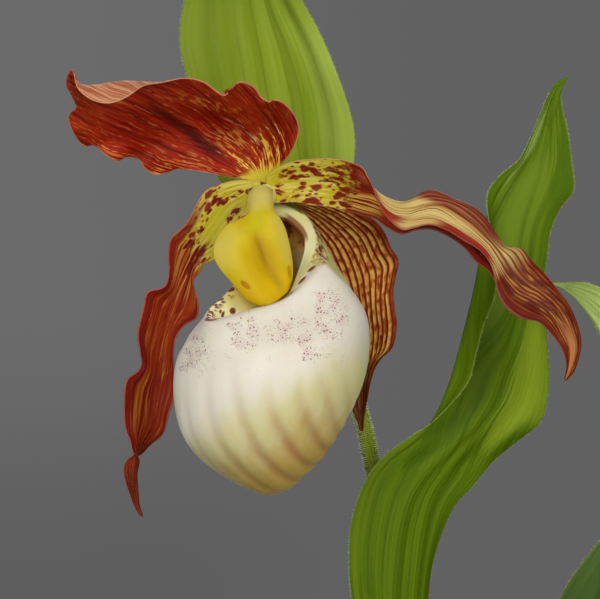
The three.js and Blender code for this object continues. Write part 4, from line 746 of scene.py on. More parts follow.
def lip_paint():
    p = Paint("pouch", 0.42, Subsurface_Weight=0.2, Subsurface_Scale=0.004, Specular_IOR_Level=0.3)
    turn, t, side = p.attribute("pat")
    fold = p.attribute("fold")[0]
    x, y, z = p.place(1000)
    x = x - FLOWER[0]
    y = y - FLOWER[1]
    z = z - FLOWER[2]
    cloud = p.noise(x * 0.07, y * 0.07, z * 0.05, detail=3)
    fine = p.noise(x * 0.9, y * 0.9, z * 0.9, detail=2)
    p.coat(p.mix(cloud.above(0.35, 0.65), rgb(232, 221, 206), rgb(225, 214, 195)))
    p.coat(rgb(244, 233, 217), x.below(-20, -10) * 0.9)
    streak = p.noise(x * 0.3, y * 0.3, z * 0.08, detail=2)
    down = z - x * 0.5 + cloud * 12 + streak * 12 - 12
    for colour, low, high, share in YELLOWING:
        p.coat(colour, down.below(low, high) * share)
    p.coat(rgb(222, 216, 150), x.above(17, 25) * z.below(-56, -38) * 0.8)
    # Painted shade: darker tan in the bottoms of the folds, more of it towards the toe
    p.coat(rgb(174, 120, 70), fold * (0.12 + down.below(-70, -50) * 0.45))
    # Purple speckles in clusters over the upper front
    patch = p.noise(x * 0.32 + 4, z * 0.32, 2.0, detail=2)
    cluster = patch * 0.9 - 0.18
    for across, height, wide, high in CLUSTERS:
        cluster = cluster + p.blot(x - across + (patch - 0.5) * 8, z - height, wide, high) * 0.2
    bands = z.above(-49, -44) * side.above(0.4, 0.6) * t.above(0.3, 0.36)
    specks = p.cells(x * 1.2, y * 1.2, z * 1.2)
    dots = p.cells(x * 2.1, y * 2.1, z * 2.1)
    p.coat(rgb(214, 186, 180), cluster.above(0.4, 0.6) * bands * 0.5)
    p.coat(rgb(126, 56, 70), (specks + fine * 0.2).below(0.26, 0.44) * cluster.above(0.4, 0.5) * bands)
    p.coat(rgb(146, 98, 104), dots.below(0.16, 0.36) * cluster.above(0.3, 0.46) * bands * 0.75)
    # Mouth: cream rim, greenish wall with maroon spots, plain yellow flap with a spotted edge
    high = t - turn.above(0.17, 0.23) * 0.16
    wall = t.above(0.1, 0.13) * high.below(0.15, 0.165) * band(turn, 0.1, 0.46, 0.03)
    blots = p.cells(x * 0.5, y * 0.5, z * 0.5) - (fine - 0.5) * 0.5
    lines = p.noise(turn * 90, t * 14, 1.0, detail=2)
    p.coat(rgb(218, 208, 132), t.below(0.11, 0.16) * 0.9)
    p.coat(rgb(226, 222, 176), band(turn, 0.16, 0.36, 0.04) * t.below(0.1, 0.14) * 0.7)
    p.coat(rgb(206, 202, 120), wall * 0.85)
    p.coat(rgb(168, 116, 60), wall * band(turn, 0.235, 0.4, 0.02) * lines.above(0.42, 0.56) * 0.8)
    spots = wall * band(turn, 0.235, 0.38, 0.02) * (blots - lines * 0.3).below(0.14, 0.26)
    p.coat(rgb(112, 28, 26), spots * 0.9)
    p.coat(rgb(198, 192, 96), band(turn, 0.235, 0.5, 0.02) * band(t, 0.3, 0.42, 0.03) * 0.8)
    for at, height in ((0.163, 0.2), (0.202, 0.22)):
        p.coat(rgb(112, 24, 26), p.blot(turn - at, t - height, 0.013, 0.036) * 0.95)
    flap = band(turn, 0.62, 0.93, 0.03) * t.below(0.1, 0.15)
    p.coat(rgb(252, 240, 180), flap * 0.95)
    p.coat(rgb(255, 230, 96), flap * turn.below(0.67, 0.77) * 0.85)
    edge = band(turn, 0.655, 0.9, 0.02) * band(t, 0.085, 0.15, 0.012)
    p.coat(rgb(118, 24, 32), (blots - 0.08).below(0.36, 0.48) * edge * 0.95)
    for at, height, wide, tall in FLAP_SPOTS:
        p.coat(rgb(110, 20, 22), p.blot(turn - at, t - height + (turn - at) * 0.2, wide, tall) * 0.95)
    seam = band(t, 0.15, 0.24, 0.012) * (band(turn, 0.86, 0.925, 0.01) + band(turn, 0.035, 0.13, 0.012))
    p.coat(rgb(112, 30, 20), seam * (0.5 + lines * 0.6))
    # Inside: tan and maroon mottling, also just within the rim
    stain = p.noise(x * 0.4, y * 0.4, z * 0.4, detail=3)
    mottle = p.mix(stain.above(0.44, 0.58), rgb(226, 176, 78), rgb(134, 52, 32))
    inside = side.below(0.4, 0.6)
    p.coat(mottle, inside * (0.7 + x.above(0, 4) * 0.25))
    p.coat(rgb(250, 236, 172), inside * z.below(-19, -14) * 0.85)
    within = t.below(0.0, 0.012) + band(turn, 0.31, 0.45, 0.02) * t.below(0.03, 0.045)
    p.coat(rgb(124, 62, 30), band(turn, 0.25, 0.46, 0.03) * within * 0.85)
    # Painted shade: dark brown high on the back of the pouch by the column, in place of the shaded synsepal
    # seen there
    p.coat(rgb(108, 58, 26), band(turn, 0.4, 0.48, 0.012) * band(t, 0.095, 0.34, 0.01) * 0.85)
    return p.finish(p.colour, cloud + fine * 0.06, 0.0006, 0.25)


def column_paint():
    p = Paint("column", 0.5)
    tone = p.grain(0.5, detail=3)
    return p.finish(p.mix(tone.above(0.35, 0.65), rgb(206, 200, 116), rgb(222, 216, 146)))


def staminode_paint():
    p = Paint("staminode", 0.55, Subsurface_Weight=0.08, Subsurface_Scale=0.003, Specular_IOR_Level=0.12)
    u, v, _ = p.attribute("pat")
    tone = p.grain(0.18)
    fleck = p.grain(0.7, detail=3)
    p.coat(p.mix(tone.above(0.35, 0.65), rgb(198, 170, 16), rgb(206, 180, 26)))
    p.coat(rgb(206, 190, 84), v.below(0.1, 0.34) * band(u, 0.34, 0.62, 0.1) * 0.75)
    p.coat(rgb(204, 186, 82), v.above(0.66, 0.92) * band(u, 0.22, 0.7, 0.1) * 0.75)
    p.coat(rgb(190, 156, 0), band(v, 0.3, 0.72, 0.12) * u.above(0.42, 0.6) * 0.85)
    p.coat(rgb(208, 168, 0), u.above(0.7, 0.88) * 0.8)
    p.coat(rgb(190, 176, 4), p.blot(u - 0.27, v - 0.45, 0.12, 0.26) * 0.8)
    p.coat(rgb(192, 176, 88), (u + (tone - 0.5) * 0.06).below(0.1, 0.24) * 0.95)
    p.coat(rgb(170, 154, 72), u.below(0.02, 0.08) * 0.6)
    # Painted shade: darker yellow along the groove down the middle, darkest halfway down it
    bend = v - 0.5 - u.above(0.7, 1.0) * 0.16 + (tone - 0.5) * 0.05
    p.coat(rgb(172, 136, 0), bend.abs().below(0.02, 0.15) * band(u, 0.4, 0.92, 0.08) * 0.75)
    p.coat(rgb(150, 110, 0), bend.abs().below(0.0, 0.06) * band(u, 0.44, 0.68, 0.08) * 0.8)
    p.coat(rgb(166, 98, 10), p.blot(u - 0.785 - (v - 0.17) * 0.3, v - 0.17, 0.04, 0.05) * (0.2 + fleck))
    p.coat(rgb(160, 124, 4), p.blot(u - 0.78, v - 0.86, 0.06, 0.05) * 0.7)
    p.coat(rgb(150, 112, 4), fleck.above(0.58, 0.66) * band(u, 0.9, 0.96, 0.01) * v.below(0.2, 0.4) * 0.7)
    corners = u.below(0.012, 0.028) * (v - 0.5).abs().above(0.2, 0.36)
    p.coat(rgb(92, 14, 20), fleck.above(0.4, 0.5) * corners * 0.9)
    return p.finish(p.colour, tone, 0.0004, 0.2)


def dorsal_paint():
    p = Paint("dorsal sepal", 0.55, Specular_IOR_Level=0.12)
    u, v, side = p.attribute("pat")
    run, across, _ = p.attribute("mm")
    # Streaks fan out from the base and then run side by side
    x, _, z = p.place(1000)
    x = (FLOWER[0] - 1) - x
    z = z - (FLOWER[2] + 1.2)
    along = x * 0.914 + z * 0.407
    aside = z * 0.914 - x * 0.407
    reach = (x * x + z * z).op("SQRT")
    wander = p.noise(x * 0.09, z * 0.09, 1.0, detail=2) - 0.5
    lean = aside.op("ARCTAN2", along) * (1 + reach * 0.14) + wander * 0.6
    vein = p.noise(lean * 6, reach * 0.05, 2.0, detail=2)
    line = p.noise(lean * 15, reach * 0.09, 2.7, detail=1)
    dash = p.noise(lean * 8 + wander, reach * 0.42, 3.0, detail=1)
    broad = p.noise(lean * 1.1, reach * 0.08, 4.0, detail=2)
    p.coat(p.mix(broad.above(0.38, 0.62), rgb(150, 24, 0), rgb(166, 38, 4)))
    p.coat(rgb(176, 56, 12), u.above(0.6, 0.85) * 0.5)
    p.coat(rgb(98, 8, 0), vein.below(0.36, 0.48) * 0.8)
    p.coat(rgb(92, 8, 0), line.below(0.34, 0.42) * 0.6)
    p.coat(rgb(190, 74, 24), vein.above(0.54, 0.68) * 0.45)
    p.coat(rgb(204, 100, 58), line.above(0.55, 0.65) * dash.above(0.46, 0.6) * 0.55)
    golden = band(v, 0.68, 0.78, 0.03) * band(u, 0.36, 0.56, 0.05)
    p.coat(rgb(206, 120, 44), golden * dash.above(0.46, 0.6) * 0.7)
    p.coat(rgb(218, 130, 56), dash.above(0.61, 0.69) * vein.above(0.52, 0.6) * 0.5)
    low = v.below(0.06, 0.2) * band(u, 0.08, 0.7, 0.1)
    p.coat(rgb(222, 142, 66), line.above(0.52, 0.62) * dash.above(0.4, 0.54) * low * 0.7)
    # Painted shade: darkest red along the furrow that runs across the sepal, the shade in its fold
    furrow = (v - 0.06 - u * 0.86).abs() + wander * 0.06
    p.coat(rgb(66, 2, 0), furrow.below(0.0, 0.075) * band(u, 0.16, 0.6, 0.08) * 0.85)
    # Yellow flames at the base, blotched with red
    length = 0.055 + band(v, 0.55, 0.9, 0.1) * 0.09 + band(v, 0.2, 0.5, 0.1) * 0.06
    flame = (u - length * (vein * 0.5 + dash * 0.5).above(0.4, 0.64) * 1.7).below(-0.005, 0.03)
    gold = p.mix(vein.above(0.42, 0.58), rgb(196, 122, 26), rgb(226, 182, 70))
    p.coat(gold, flame * 0.95)
    amber = band(u, 0.16, 0.27, 0.03) * band(v, 0.32, 0.56, 0.06)
    p.coat(rgb(206, 132, 50), amber * dash.above(0.46, 0.6) * 0.8)
    blot = p.cells(run * 0.34, across * 0.7) - (dash - 0.5)
    p.coat(rgb(130, 26, 4), blot.below(0.3, 0.44) * flame * u.above(0.05, 0.1) * 0.9)
    p.coat(rgb(190, 178, 44), (u + wander * 0.05).below(0.045, 0.085) * 0.95)
    bars = band(v, 0.588, 0.6, 0.006) * band(u, 0.12, 0.3, 0.04)
    bars = bars + band(v, 0.243, 0.25, 0.005) * band(u, 0.08, 0.2, 0.02)
    p.coat(rgb(104, 20, 18), p.blot(x + 0.8, z + 0.9, 1.3, 0.7) * 0.9)
    p.coat(rgb(232, 178, 128), bars * dash.above(0.4, 0.6) * 0.8)
    back = p.mix((vein * 0.5 + line * 0.5).above(0.42, 0.6), rgb(172, 98, 62), rgb(206, 146, 112))
    back = p.mix(line.below(0.38, 0.48) * 0.45, back, rgb(150, 72, 44))
    back = p.mix(v.below(0.5, 0.66) * 0.6, back, rgb(156, 86, 38))
    p.coat(back, side.below(0.4, 0.6))
    # Pale margins: partly the sepal's own pale hairy edge, partly painted light shining through the thin edge
    p.coat(rgb(206, 158, 112), margins(v, 0.975, 0.99) * 0.6)
    return p.finish(p.colour, vein + dash * 0.3, 0.0005, 0.4)


def spotted_base(p, reach, seed, plain=0.0, less=0.0):
    """Yellow-green base of a petal with rows of maroon spots, up to u = reach and outside plain."""
    u, v, _ = p.attribute("pat")
    run, across, _ = p.attribute("mm")
    warp = p.noise(run * 0.2, across * 0.3, seed, detail=2) - 0.5
    patch = p.noise(run * 0.09, across * 0.13, seed + 2, detail=1)
    tone = p.noise(u * 14, v * 9, seed + 4, detail=2)
    ragged = p.noise(run * 0.25, across * 1.1, seed + 5, detail=1) - 0.5
    edge = (u + warp * 0.1 + ragged * 0.12).below(reach - 0.01, reach + 0.03)
    p.coat(p.mix(tone.above(0.4, 0.62), rgb(188, 172, 30), rgb(206, 190, 88)), edge)
    grow = 0.22 - less + u * 0.9 + (patch - 0.5) * 1.3
    spots = p.cells(run * 0.32 + warp, across * 0.62 + warp, seed)
    small = p.cells(run * 0.5, across * 1.05 + warp, seed + 1)
    some = edge * u.above(0.015, 0.05) * (1 - plain)
    p.coat(rgb(176, 108, 44), (spots - grow).below(0.08, 0.22) * some * 0.55)
    p.coat(rgb(118, 22, 8), (spots - grow).below(0.0, 0.1) * some * 0.95)
    p.coat(rgb(124, 30, 10), (small - grow * 0.75).below(0.0, 0.12) * some * 0.9)


def big_spots(p, spots, colour, dash, lean):
    """The largest blotches of a petal's base, each an oval with a ragged edge."""
    u, v, _ = p.attribute("pat")
    ragged = p.noise(u * 55, v * 15, 31.0, detail=2) - 0.5
    other = p.noise(u * 55, v * 15, 37.0, detail=2) - 0.5
    for at, height, wide, high in spots:
        x = u - at + (v - height) * lean + ragged * 0.045
        p.coat(colour, p.blot(x, v - height + other * 0.15, wide, high) * (0.5 + dash))


LEFT_SPOTS = (
    (0.055, 0.32, 0.009, 0.06), (0.074, 0.38, 0.008, 0.04), (0.108, 0.37, 0.012, 0.05),
    (0.112, 0.27, 0.012, 0.05), (0.122, 0.2, 0.009, 0.05), (0.15, 0.28, 0.011, 0.03),
    (0.205, 0.31, 0.01, 0.05), (0.086, 0.66, 0.014, 0.07), (0.114, 0.67, 0.01, 0.06),
    (0.24, 0.61, 0.036, 0.09), (0.075, 0.92, 0.011, 0.07), (0.25, 0.29, 0.016, 0.06),
    (0.29, 0.55, 0.02, 0.06),
)


def left_paint():
    p = Paint("left petal", 0.52, Specular_IOR_Level=0.15)
    u, v, _ = p.attribute("pat")
    wander = p.noise(u * 6, v * 3, 1.0, detail=2) - 0.5
    bend = v + wander * 0.16 + (u * 12).sin() * 0.04
    vein = p.noise(bend * 20, u * 2.5, 2.0, detail=2)
    dash = p.noise(bend * 26, u * 18, 3.0, detail=1)
    line = p.noise(bend * 46, u * 5, 6.0, detail=1)
    broad = p.noise(v * 4, u * 7, 4.0, detail=2)
    p.coat(p.mix(broad.above(0.38, 0.62), rgb(134, 28, 0), rgb(154, 50, 8)))
    p.coat(rgb(106, 12, 0), vein.below(0.34, 0.48) * 0.75)
    p.coat(rgb(180, 88, 28), vein.above(0.54, 0.68) * 0.5)
    p.coat(rgb(214, 138, 62), dash.above(0.56, 0.68) * vein.above(0.48, 0.6) * 0.6)
    amber = band(v, 0.17, 0.32, 0.05) * band(u, 0.62, 0.77, 0.04)
    p.coat(rgb(196, 122, 42), amber * vein.above(0.36, 0.6) * 0.6)
    p.coat(rgb(92, 10, 0), line.below(0.3, 0.46) * 0.7)
    p.coat(rgb(190, 110, 58), line.above(0.58, 0.68) * (0.2 + dash.above(0.4, 0.6) * 0.4))
    tan = band(u, 0.22, 0.36, 0.04) * band(v, 0.2, 0.8, 0.1) * vein.above(0.46, 0.54)
    p.coat(rgb(212, 148, 66), tan * 0.85)
    plain = p.blot(u - 0.155, v - 0.52, 0.075, 0.17).above(0.1, 0.4)
    spotted_base(p, 0.235, 11.0, plain, 0.08)
    p.coat(rgb(186, 176, 34), plain * band(u, 0.1, 0.21, 0.02) * 0.8)
    big_spots(p, LEFT_SPOTS, rgb(110, 18, 8), dash, 0.05)
    p.coat(rgb(104, 20, 14), p.blot(u - 0.035, v - 0.4, 0.009, 0.09) * 0.9)
    p.coat(rgb(118, 12, 8), (v + wander * 0.1).below(0.1, 0.19) * u.above(0.13, 0.2) * 0.85)
    p.coat(rgb(122, 16, 10), v.above(0.86, 0.95) * u.above(0.32, 0.38) * 0.7)
    p.coat(rgb(84, 30, 12), u.above(0.83, 0.9) * 0.6)
    p.coat(rgb(190, 122, 96), margins(v, 0.93, 0.98) * 0.5)
    return p.finish(p.colour, vein + dash * 0.3, 0.0004, 0.4)


RIGHT_SPOTS = (
    (0.165, 0.77, 0.02, 0.06), (0.17, 0.61, 0.02, 0.05), (0.145, 0.54, 0.02, 0.04),
    (0.115, 0.77, 0.013, 0.06), (0.1, 0.85, 0.011, 0.05), (0.055, 0.85, 0.009, 0.04),
    (0.07, 0.62, 0.012, 0.06), (0.03, 0.26, 0.011, 0.09), (0.19, 0.41, 0.016, 0.04),
    (0.03, 0.43, 0.008, 0.04), (0.205, 0.13, 0.02, 0.03), (0.12, 0.12, 0.016, 0.03),
)


def right_paint():
    p = Paint("right petal", 0.52, Specular_IOR_Level=0.15)
    u, v, side = p.attribute("pat")
    wander = p.noise(u * 5, v * 3, 5.0, detail=2) - 0.5
    vein = p.noise(v * 22 + wander * 2.5, u * 3, 6.0, detail=2)
    line = p.noise(v * 38 + wander * 3, u * 3.5, 6.5, detail=1)
    dash = p.noise(v * 30 + wander * 3, u * 24, 7.0, detail=1)
    # Inner face: deep red beyond the yellow base
    p.coat(p.mix(vein.above(0.38, 0.62), rgb(112, 12, 2), rgb(144, 30, 8)))
    near = band(u, 0.17, 0.33, 0.03)
    p.coat(rgb(222, 168, 78), near * line.above(0.4, 0.5) * band(v, 0.08, 0.4, 0.05) * 0.97)
    turned = band(u, 0.25, 0.3, 0.02) * band(v, 0.6, 0.95, 0.05)
    p.coat(rgb(196, 96, 70), turned * line.above(0.5, 0.58) * 0.7)
    spotted_base(p, 0.2, 21.0)
    big_spots(p, RIGHT_SPOTS, rgb(118, 22, 8), dash, 0.06)
    # Outer face: cream with dark veins after the twist, then brown and striped
    cream = p.mix(vein.above(0.35, 0.65), rgb(174, 132, 70), rgb(208, 184, 112))
    cream = p.mix(line.below(0.38, 0.45) * 0.9, cream, rgb(112, 38, 16))
    stripe = (v * (2 * math.pi * 25) + wander * 14 + (vein - 0.5) * 6).sin() * 0.5 + 0.5
    red = p.mix((stripe * 0.5 + dash * 0.6).above(0.42, 0.76), rgb(92, 12, 4), rgb(160, 78, 50))
    middle = (v - 0.5).abs()
    red = p.mix(middle.below(0.06, 0.1) * 0.7, red, rgb(108, 18, 8))
    flush = (middle + wander * 0.12 - u.above(0.38, 0.5) * 0.15).below(0.0, 0.06)
    cream = p.mix(flush * band(u, 0.38, 0.64, 0.04) * 0.95, cream, red)
    cream = p.mix(stripe.above(0.62, 0.9) * u.above(0.54, 0.62) * 0.85, cream, rgb(116, 46, 20))
    strip = v.above(0.85, 0.88) * band(u, 0.53, 0.67, 0.02)
    strip = strip + (v - u * 0.9).above(0.37, 0.45) * band(u, 0.3, 0.44, 0.02)
    cream = p.mix(strip * 0.95, cream, p.mix(vein.above(0.4, 0.6), rgb(128, 8, 0), rgb(154, 26, 8)))
    outer = side.below(0.4, 0.6)
    p.coat(cream, outer)
    brown = p.mix((vein * 0.6 + dash * 0.4).above(0.4, 0.6), rgb(94, 24, 2), rgb(144, 72, 18))
    brown = p.mix(dash.above(0.5, 0.66) * band(v, 0.58, 0.86, 0.08) * 0.6, brown, rgb(188, 128, 50))
    brown = p.mix(stripe.above(0.55, 0.85) * 0.85, brown, rgb(76, 10, 2))
    brown = p.mix(u.above(0.84, 0.92) * band(v, 0.64, 0.78, 0.05) * 0.75, brown, rgb(202, 132, 78))
    brown = p.mix((middle + wander * 0.1).below(0.02, 0.12) * 0.4, brown, rgb(112, 24, 10))
    brown = p.mix((middle * 2).above(0.66, 0.9) * 0.75, brown, rgb(104, 14, 4))
    p.coat(brown, (u + wander * 0.1).above(0.66, 0.71) * outer)
    p.coat(brown, (u + wander * 0.1).above(0.69, 0.73))
    p.coat(rgb(190, 122, 96), margins(v, 0.93, 0.98) * 0.45)
    return p.finish(p.colour, vein + dash * 0.3, 0.0004, 0.4)


def synsepal_paint():
    p = Paint("synsepal", 0.55, Specular_IOR_Level=0.15)
    u, v, side = p.attribute("pat")
    run = p.attribute("mm")[0]
    wander = p.noise(u * 6, v * 3, 8.0, detail=2) - 0.5
    cross = p.noise(run * 0.55, v * 16, 9.0, detail=1)
    broad = p.noise(u * 6, v * 5, 3.0, detail=1)
    line = (v * (2 * math.pi * 15) + wander * 5).sin() * 0.5 + 0.5
    tan = p.mix(cross.above(0.38, 0.62), rgb(206, 128, 46), rgb(236, 182, 88))
    p.coat(tan)
    p.coat(rgb(146, 62, 30), cross.below(0.34, 0.46) * 0.8)
    p.coat(rgb(122, 32, 6), (line + (broad - 0.5) * 0.5).above(0.5, 0.8) * 0.97)
    p.coat(rgb(124, 24, 8), (v + (broad - 0.5) * 0.1).above(0.9, 0.98) * 0.9)
    p.coat(rgb(92, 30, 6), (u + (broad - 0.5) * 0.1).above(0.7, 0.86) * 0.85)
    p.coat(rgb(124, 104, 34), u.below(0.03, 0.16) * v.below(0.75, 0.95) * 0.6)
    p.coat(rgb(132, 84, 30), side.below(0.4, 0.6) * 0.5)
    return p.finish(p.colour, cross + line, 0.0004, 0.5)


# Markings of the leaves

def leaf_paint(name, dark, mid, light, veins=8, seed=0.0, sag=0.0, tones_and_light=()):
    """Green of a pleated leaf, with ovals of other colours over it, some of them painted light."""
    p = Paint(name, 0.55, Specular_IOR_Level=0.07)
    u, v, side = p.attribute("pat")
    run, across, _ = p.attribute("mm")
    # Veins follow the blade; sag lets them dip towards its middle
    vein = v + band(u, 0.44, 0.62, 0.07) * sag
    broad = p.noise(vein * 6 + seed, run * 0.01, detail=1)
    fine = p.noise(vein * 60, run * 0.03, 3.0, detail=2)
    mottle = p.noise(run * 0.35, across * 0.6, seed, detail=3)
    fold = (vein * (2 * math.pi * veins) + (broad - 0.5) * 5).sin() * 0.5 + 0.5
    p.coat(p.mix(broad.above(0.35, 0.65), dark, mid))
    p.coat(light, fold.below(0.0, 0.5) * 0.18)
    p.coat(light, fine.above(0.52, 0.72) * 0.2)
    p.coat(dark, fine.below(0.3, 0.42) * 0.35)
    p.coat(dark, fold.above(0.93, 0.995) * fine.below(0.4, 0.7) * 0.8)
    crisp = (vein * (2 * math.pi * veins * 1.6) + (broad - 0.5) * 4).sin()
    p.coat(dark, crisp.above(0.9, 0.99) * (0.35 + fine.below(0.4, 0.6) * 0.5))
    p.coat(mid, mottle.above(0.45, 0.7) * 0.25)
    for at, height, wide, high, colour in tones_and_light:
        x = u - at + (broad - 0.5) * 0.1
        y = v - height + (fine - 0.5) * 0.2
        p.coat(colour, p.blot(x, y, wide, high) * 0.8)
    p.coat(rgb(166, 182, 90), margins(v, 0.97, 0.995) * 0.35)
    p.coat(dark, side.below(0.4, 0.6) * 0.5)
    return p.finish(p.colour, fine * 0.5 + mottle * 0.4 - fold.above(0.9, 1.0) * 0.5, 0.0003, 0.3)


def bract_paint():
    p = Paint("bract green", 0.5, Specular_IOR_Level=0.2)
    u, v, _ = p.attribute("pat")
    run = p.attribute("mm")[0]
    fine = p.noise(v * 44, run * 0.05, detail=3)
    broad = p.noise(v * 9, run * 0.02, 5.0, detail=1)
    fold = (v * (2 * math.pi * 7) + (broad - 0.5) * 3).sin()
    p.coat(p.mix(broad.above(0.35, 0.65), rgb(134, 154, 34), rgb(142, 162, 42)))
    p.coat(rgb(108, 132, 20), fold.above(0.88, 1.0) * 0.5)
    p.coat(rgb(112, 136, 24), fine.below(0.32, 0.46) * 0.35)
    p.coat(rgb(164, 182, 66), fine.above(0.56, 0.7) * 0.25)
    p.coat(rgb(122, 140, 30), v.below(0.2, 0.45) * 0.6)
    p.coat(rgb(166, 186, 78), v.above(0.72, 0.84) * u.below(0.55, 0.75) * 0.7)
    p.coat(rgb(118, 136, 26), u.above(0.55, 0.8) * 0.6)
    return p.finish(p.colour, fine, 0.0003, 0.4)


def ribbed(relief, count, depth):
    """Adds fine raised veins, count of them across, to a relief."""
    return lambda u, v: relief(u, v) + depth * smooth(0, 0.1, u) * np.cos(2 * np.pi * count * v)


# Materials

def clay_paint():
    p = Paint("terracotta", 0.85)
    z = p.place(1000)[2]
    grain = p.grain(0.8, detail=6, rough=0.65)
    cloud = p.grain(0.03, 0.05, detail=4)
    throw = p.grain(0.01, 0.9)
    colour = p.mix(cloud.above(0.35, 0.7), rgb(171, 92, 58), rgb(190, 112, 76))
    colour = p.mix(grain.above(0.5, 0.75) * 0.4, colour, rgb(206, 142, 106))
    colour = p.mix(grain.below(0.28, 0.42) * 0.5, colour, rgb(138, 72, 46))
    lime = cloud.above(0.5, 0.75) * z.above(70, 128) * 0.5
    colour = p.mix(lime, colour, rgb(214, 184, 160))
    return p.finish(colour, grain * 0.4 + throw, 0.0006, 0.5)


def soil_paint():
    p = Paint("potting soil", 0.95)
    grain = p.grain(0.7, detail=6, rough=0.7)
    colour = p.mix(grain.above(0.35, 0.7), rgb(48, 36, 26), rgb(86, 68, 48))
    return p.finish(colour, grain, 0.001, 0.8)


def chip_paint():
    p = Paint("bark and grit", 0.9)
    tone = p.grain(0.21, 0.4)
    grain = p.grain(1.9, 2.2, detail=4)
    colour = p.mix(tone.above(0.4, 0.62), rgb(84, 56, 36), rgb(128, 96, 64))
    colour = p.mix(tone.above(0.6, 0.66), colour, rgb(176, 164, 142))
    colour = p.mix(grain.below(0.3, 0.5) * 0.5, colour, rgb(46, 32, 22))
    return p.finish(colour, grain, 0.0005, 0.7)


def root_paint():
    p = Paint("rhizome and roots", 0.85)
    grain = p.grain(0.5, 0.9, detail=5)
    return p.finish(p.mix(grain.above(0.35, 0.65), rgb(132, 104, 62), rgb(176, 150, 104)), grain, 0.0008, 0.6)


def sheath_paint():
    p = Paint("dry sheath", 0.75)
    u, v, _ = p.attribute("pat")
    run = p.attribute("mm")[0]
    fine = p.noise(v * 60, run * 0.08, detail=4)
    colour = p.mix(fine.above(0.4, 0.62), rgb(122, 100, 58), rgb(176, 158, 106))
    colour = p.mix(u.above(0.0, 0.5) * 0.4, colour, rgb(150, 152, 86))
    return p.finish(colour, fine, 0.0005, 0.6)


def stem_paint():
    p = Paint("downy stem", 0.55, Specular_IOR_Level=0.08, Sheen_Weight=0.5, Sheen_Roughness=0.4)
    v = p.attribute("pat")[1]
    run = p.attribute("mm")[0]
    ribs = p.noise(v * 26, run * 0.06, detail=3)
    mottle = p.grain(0.5, 0.12, detail=3)
    colour = p.mix(ribs.above(0.35, 0.68), rgb(118, 136, 6), rgb(150, 164, 24))
    colour = p.mix(mottle.above(0.5, 0.72) * 0.35, colour, rgb(152, 158, 84))
    return p.finish(colour, ribs, 0.0003, 0.5)


def hair_paint(name, root, tip):
    p = Paint(name, 0.5)
    tone = p.grain(0.9, detail=1)
    return p.finish(p.mix(tone.above(0.35, 0.65), root, tip))


# Pieces of the flower

def flower_grid(rails, rows, cols, relief):
    return rail_grid(rails, rows, cols, relief, FLOWER)


place(make_lip(), lip_paint(), "lip", "lip_pouch")
shield = flower_grid(STAMINODE, 120, 80, None)
place(blade("staminode_shield", shield, SHIELD_THICK, SHIELD_EDGE), staminode_paint(), "staminode", "staminode")
column = tube("column_body", np.array(COLUMN) + FLOWER, lambda u: 3 - 0.9 * u, 40, 60)
place(column, column_paint(), "column", "column")

# Node, rails, rows, columns, wave, count and depth of veins, paint, slot, facing
BLADES = (
    ("dorsal_sepal", DORSAL_SEPAL, 170, 84, petal_wave(0.5, 5), 18, 0.06, dorsal_paint, "sepal", -1),
    ("petal_left", LEFT_PETAL, 220, 48, petal_wave(0.5, 6), 9, 0.07, left_paint, "petal", 1),
    ("petal_right", RIGHT_PETAL, 220, 48, petal_wave(0.2, 7), 9, 0.07, right_paint, "petal", 1),
    ("synsepal", SYNSEPAL, 150, 64, petal_wave(0.5, 3), 10, 0.07, synsepal_paint, "sepal", 1),
)
for node, rails, rows, cols, wave, veins, depth, paint, slot, facing in BLADES:
    grid = flower_grid(rails, rows, cols, ribbed(wave, veins, depth))
    place(blade(node + "_blade", grid, PETAL_THICK, facing=facing), paint(), slot, node)

# Stems, ovary and bract

MAIN_STEM = np.array(STEM) + FLOWER
STEM_MATERIAL = stem_paint()


def stem_radius(u):
    return STEM_RADIUS * (0.85 + 0.35 * u)


def downy_stem(u):
    """The solid stem's size less part of the down that it stands for."""
    return stem_radius(u) + 0.2 * u - 0.35 * (1 - u)


def shoot_radius(u):
    return stem_radius(1 - u)


def ovary_radius(u):
    return 2.1 + 1.15 * math.sin(math.pi * min(1, u * 1.05)) ** 0.8


ovary_form = np.array(OVARY) + FLOWER
ovary = tube("ovary_body", ovary_form, ovary_radius, 48, 80, lambda u, turn: 0.12 * np.cos(6 * turn))
place(ovary, STEM_MATERIAL, "stem", "ovary")
place(tube("flower_stem_body", MAIN_STEM, downy_stem, 32, 240), STEM_MATERIAL, "stem", "flower_stem")
place(tube("shoot_stem_body", SECOND_STEM, shoot_radius, 40, 200), STEM_MATERIAL, "stem", "shoot_stem")

bract = flower_grid(BRACT, 110, 84, ribbed(pleats(0.45, 0.6, 3), 20, 0.035))
place(blade("bract_blade", bract, PETAL_THICK, facing=-1), bract_paint(), "bract", "bract")

# Leaves

LEAF_COLOURS = (rgb(72, 98, 2), rgb(92, 118, 10), rgb(132, 154, 30))
# Pale greens of the second shoot's uppermost leaf: partly its own light green, partly painted light shining
# through the thin leaf
PALE_LIT_THROUGH_COLOURS = (rgb(162, 182, 96), rgb(176, 194, 112), rgb(190, 206, 130))
top_leaf = flower_grid(TOP_LEAF, 190, 90, ribbed(pleats(0.2, 0.25, 5), 26, 0.03))
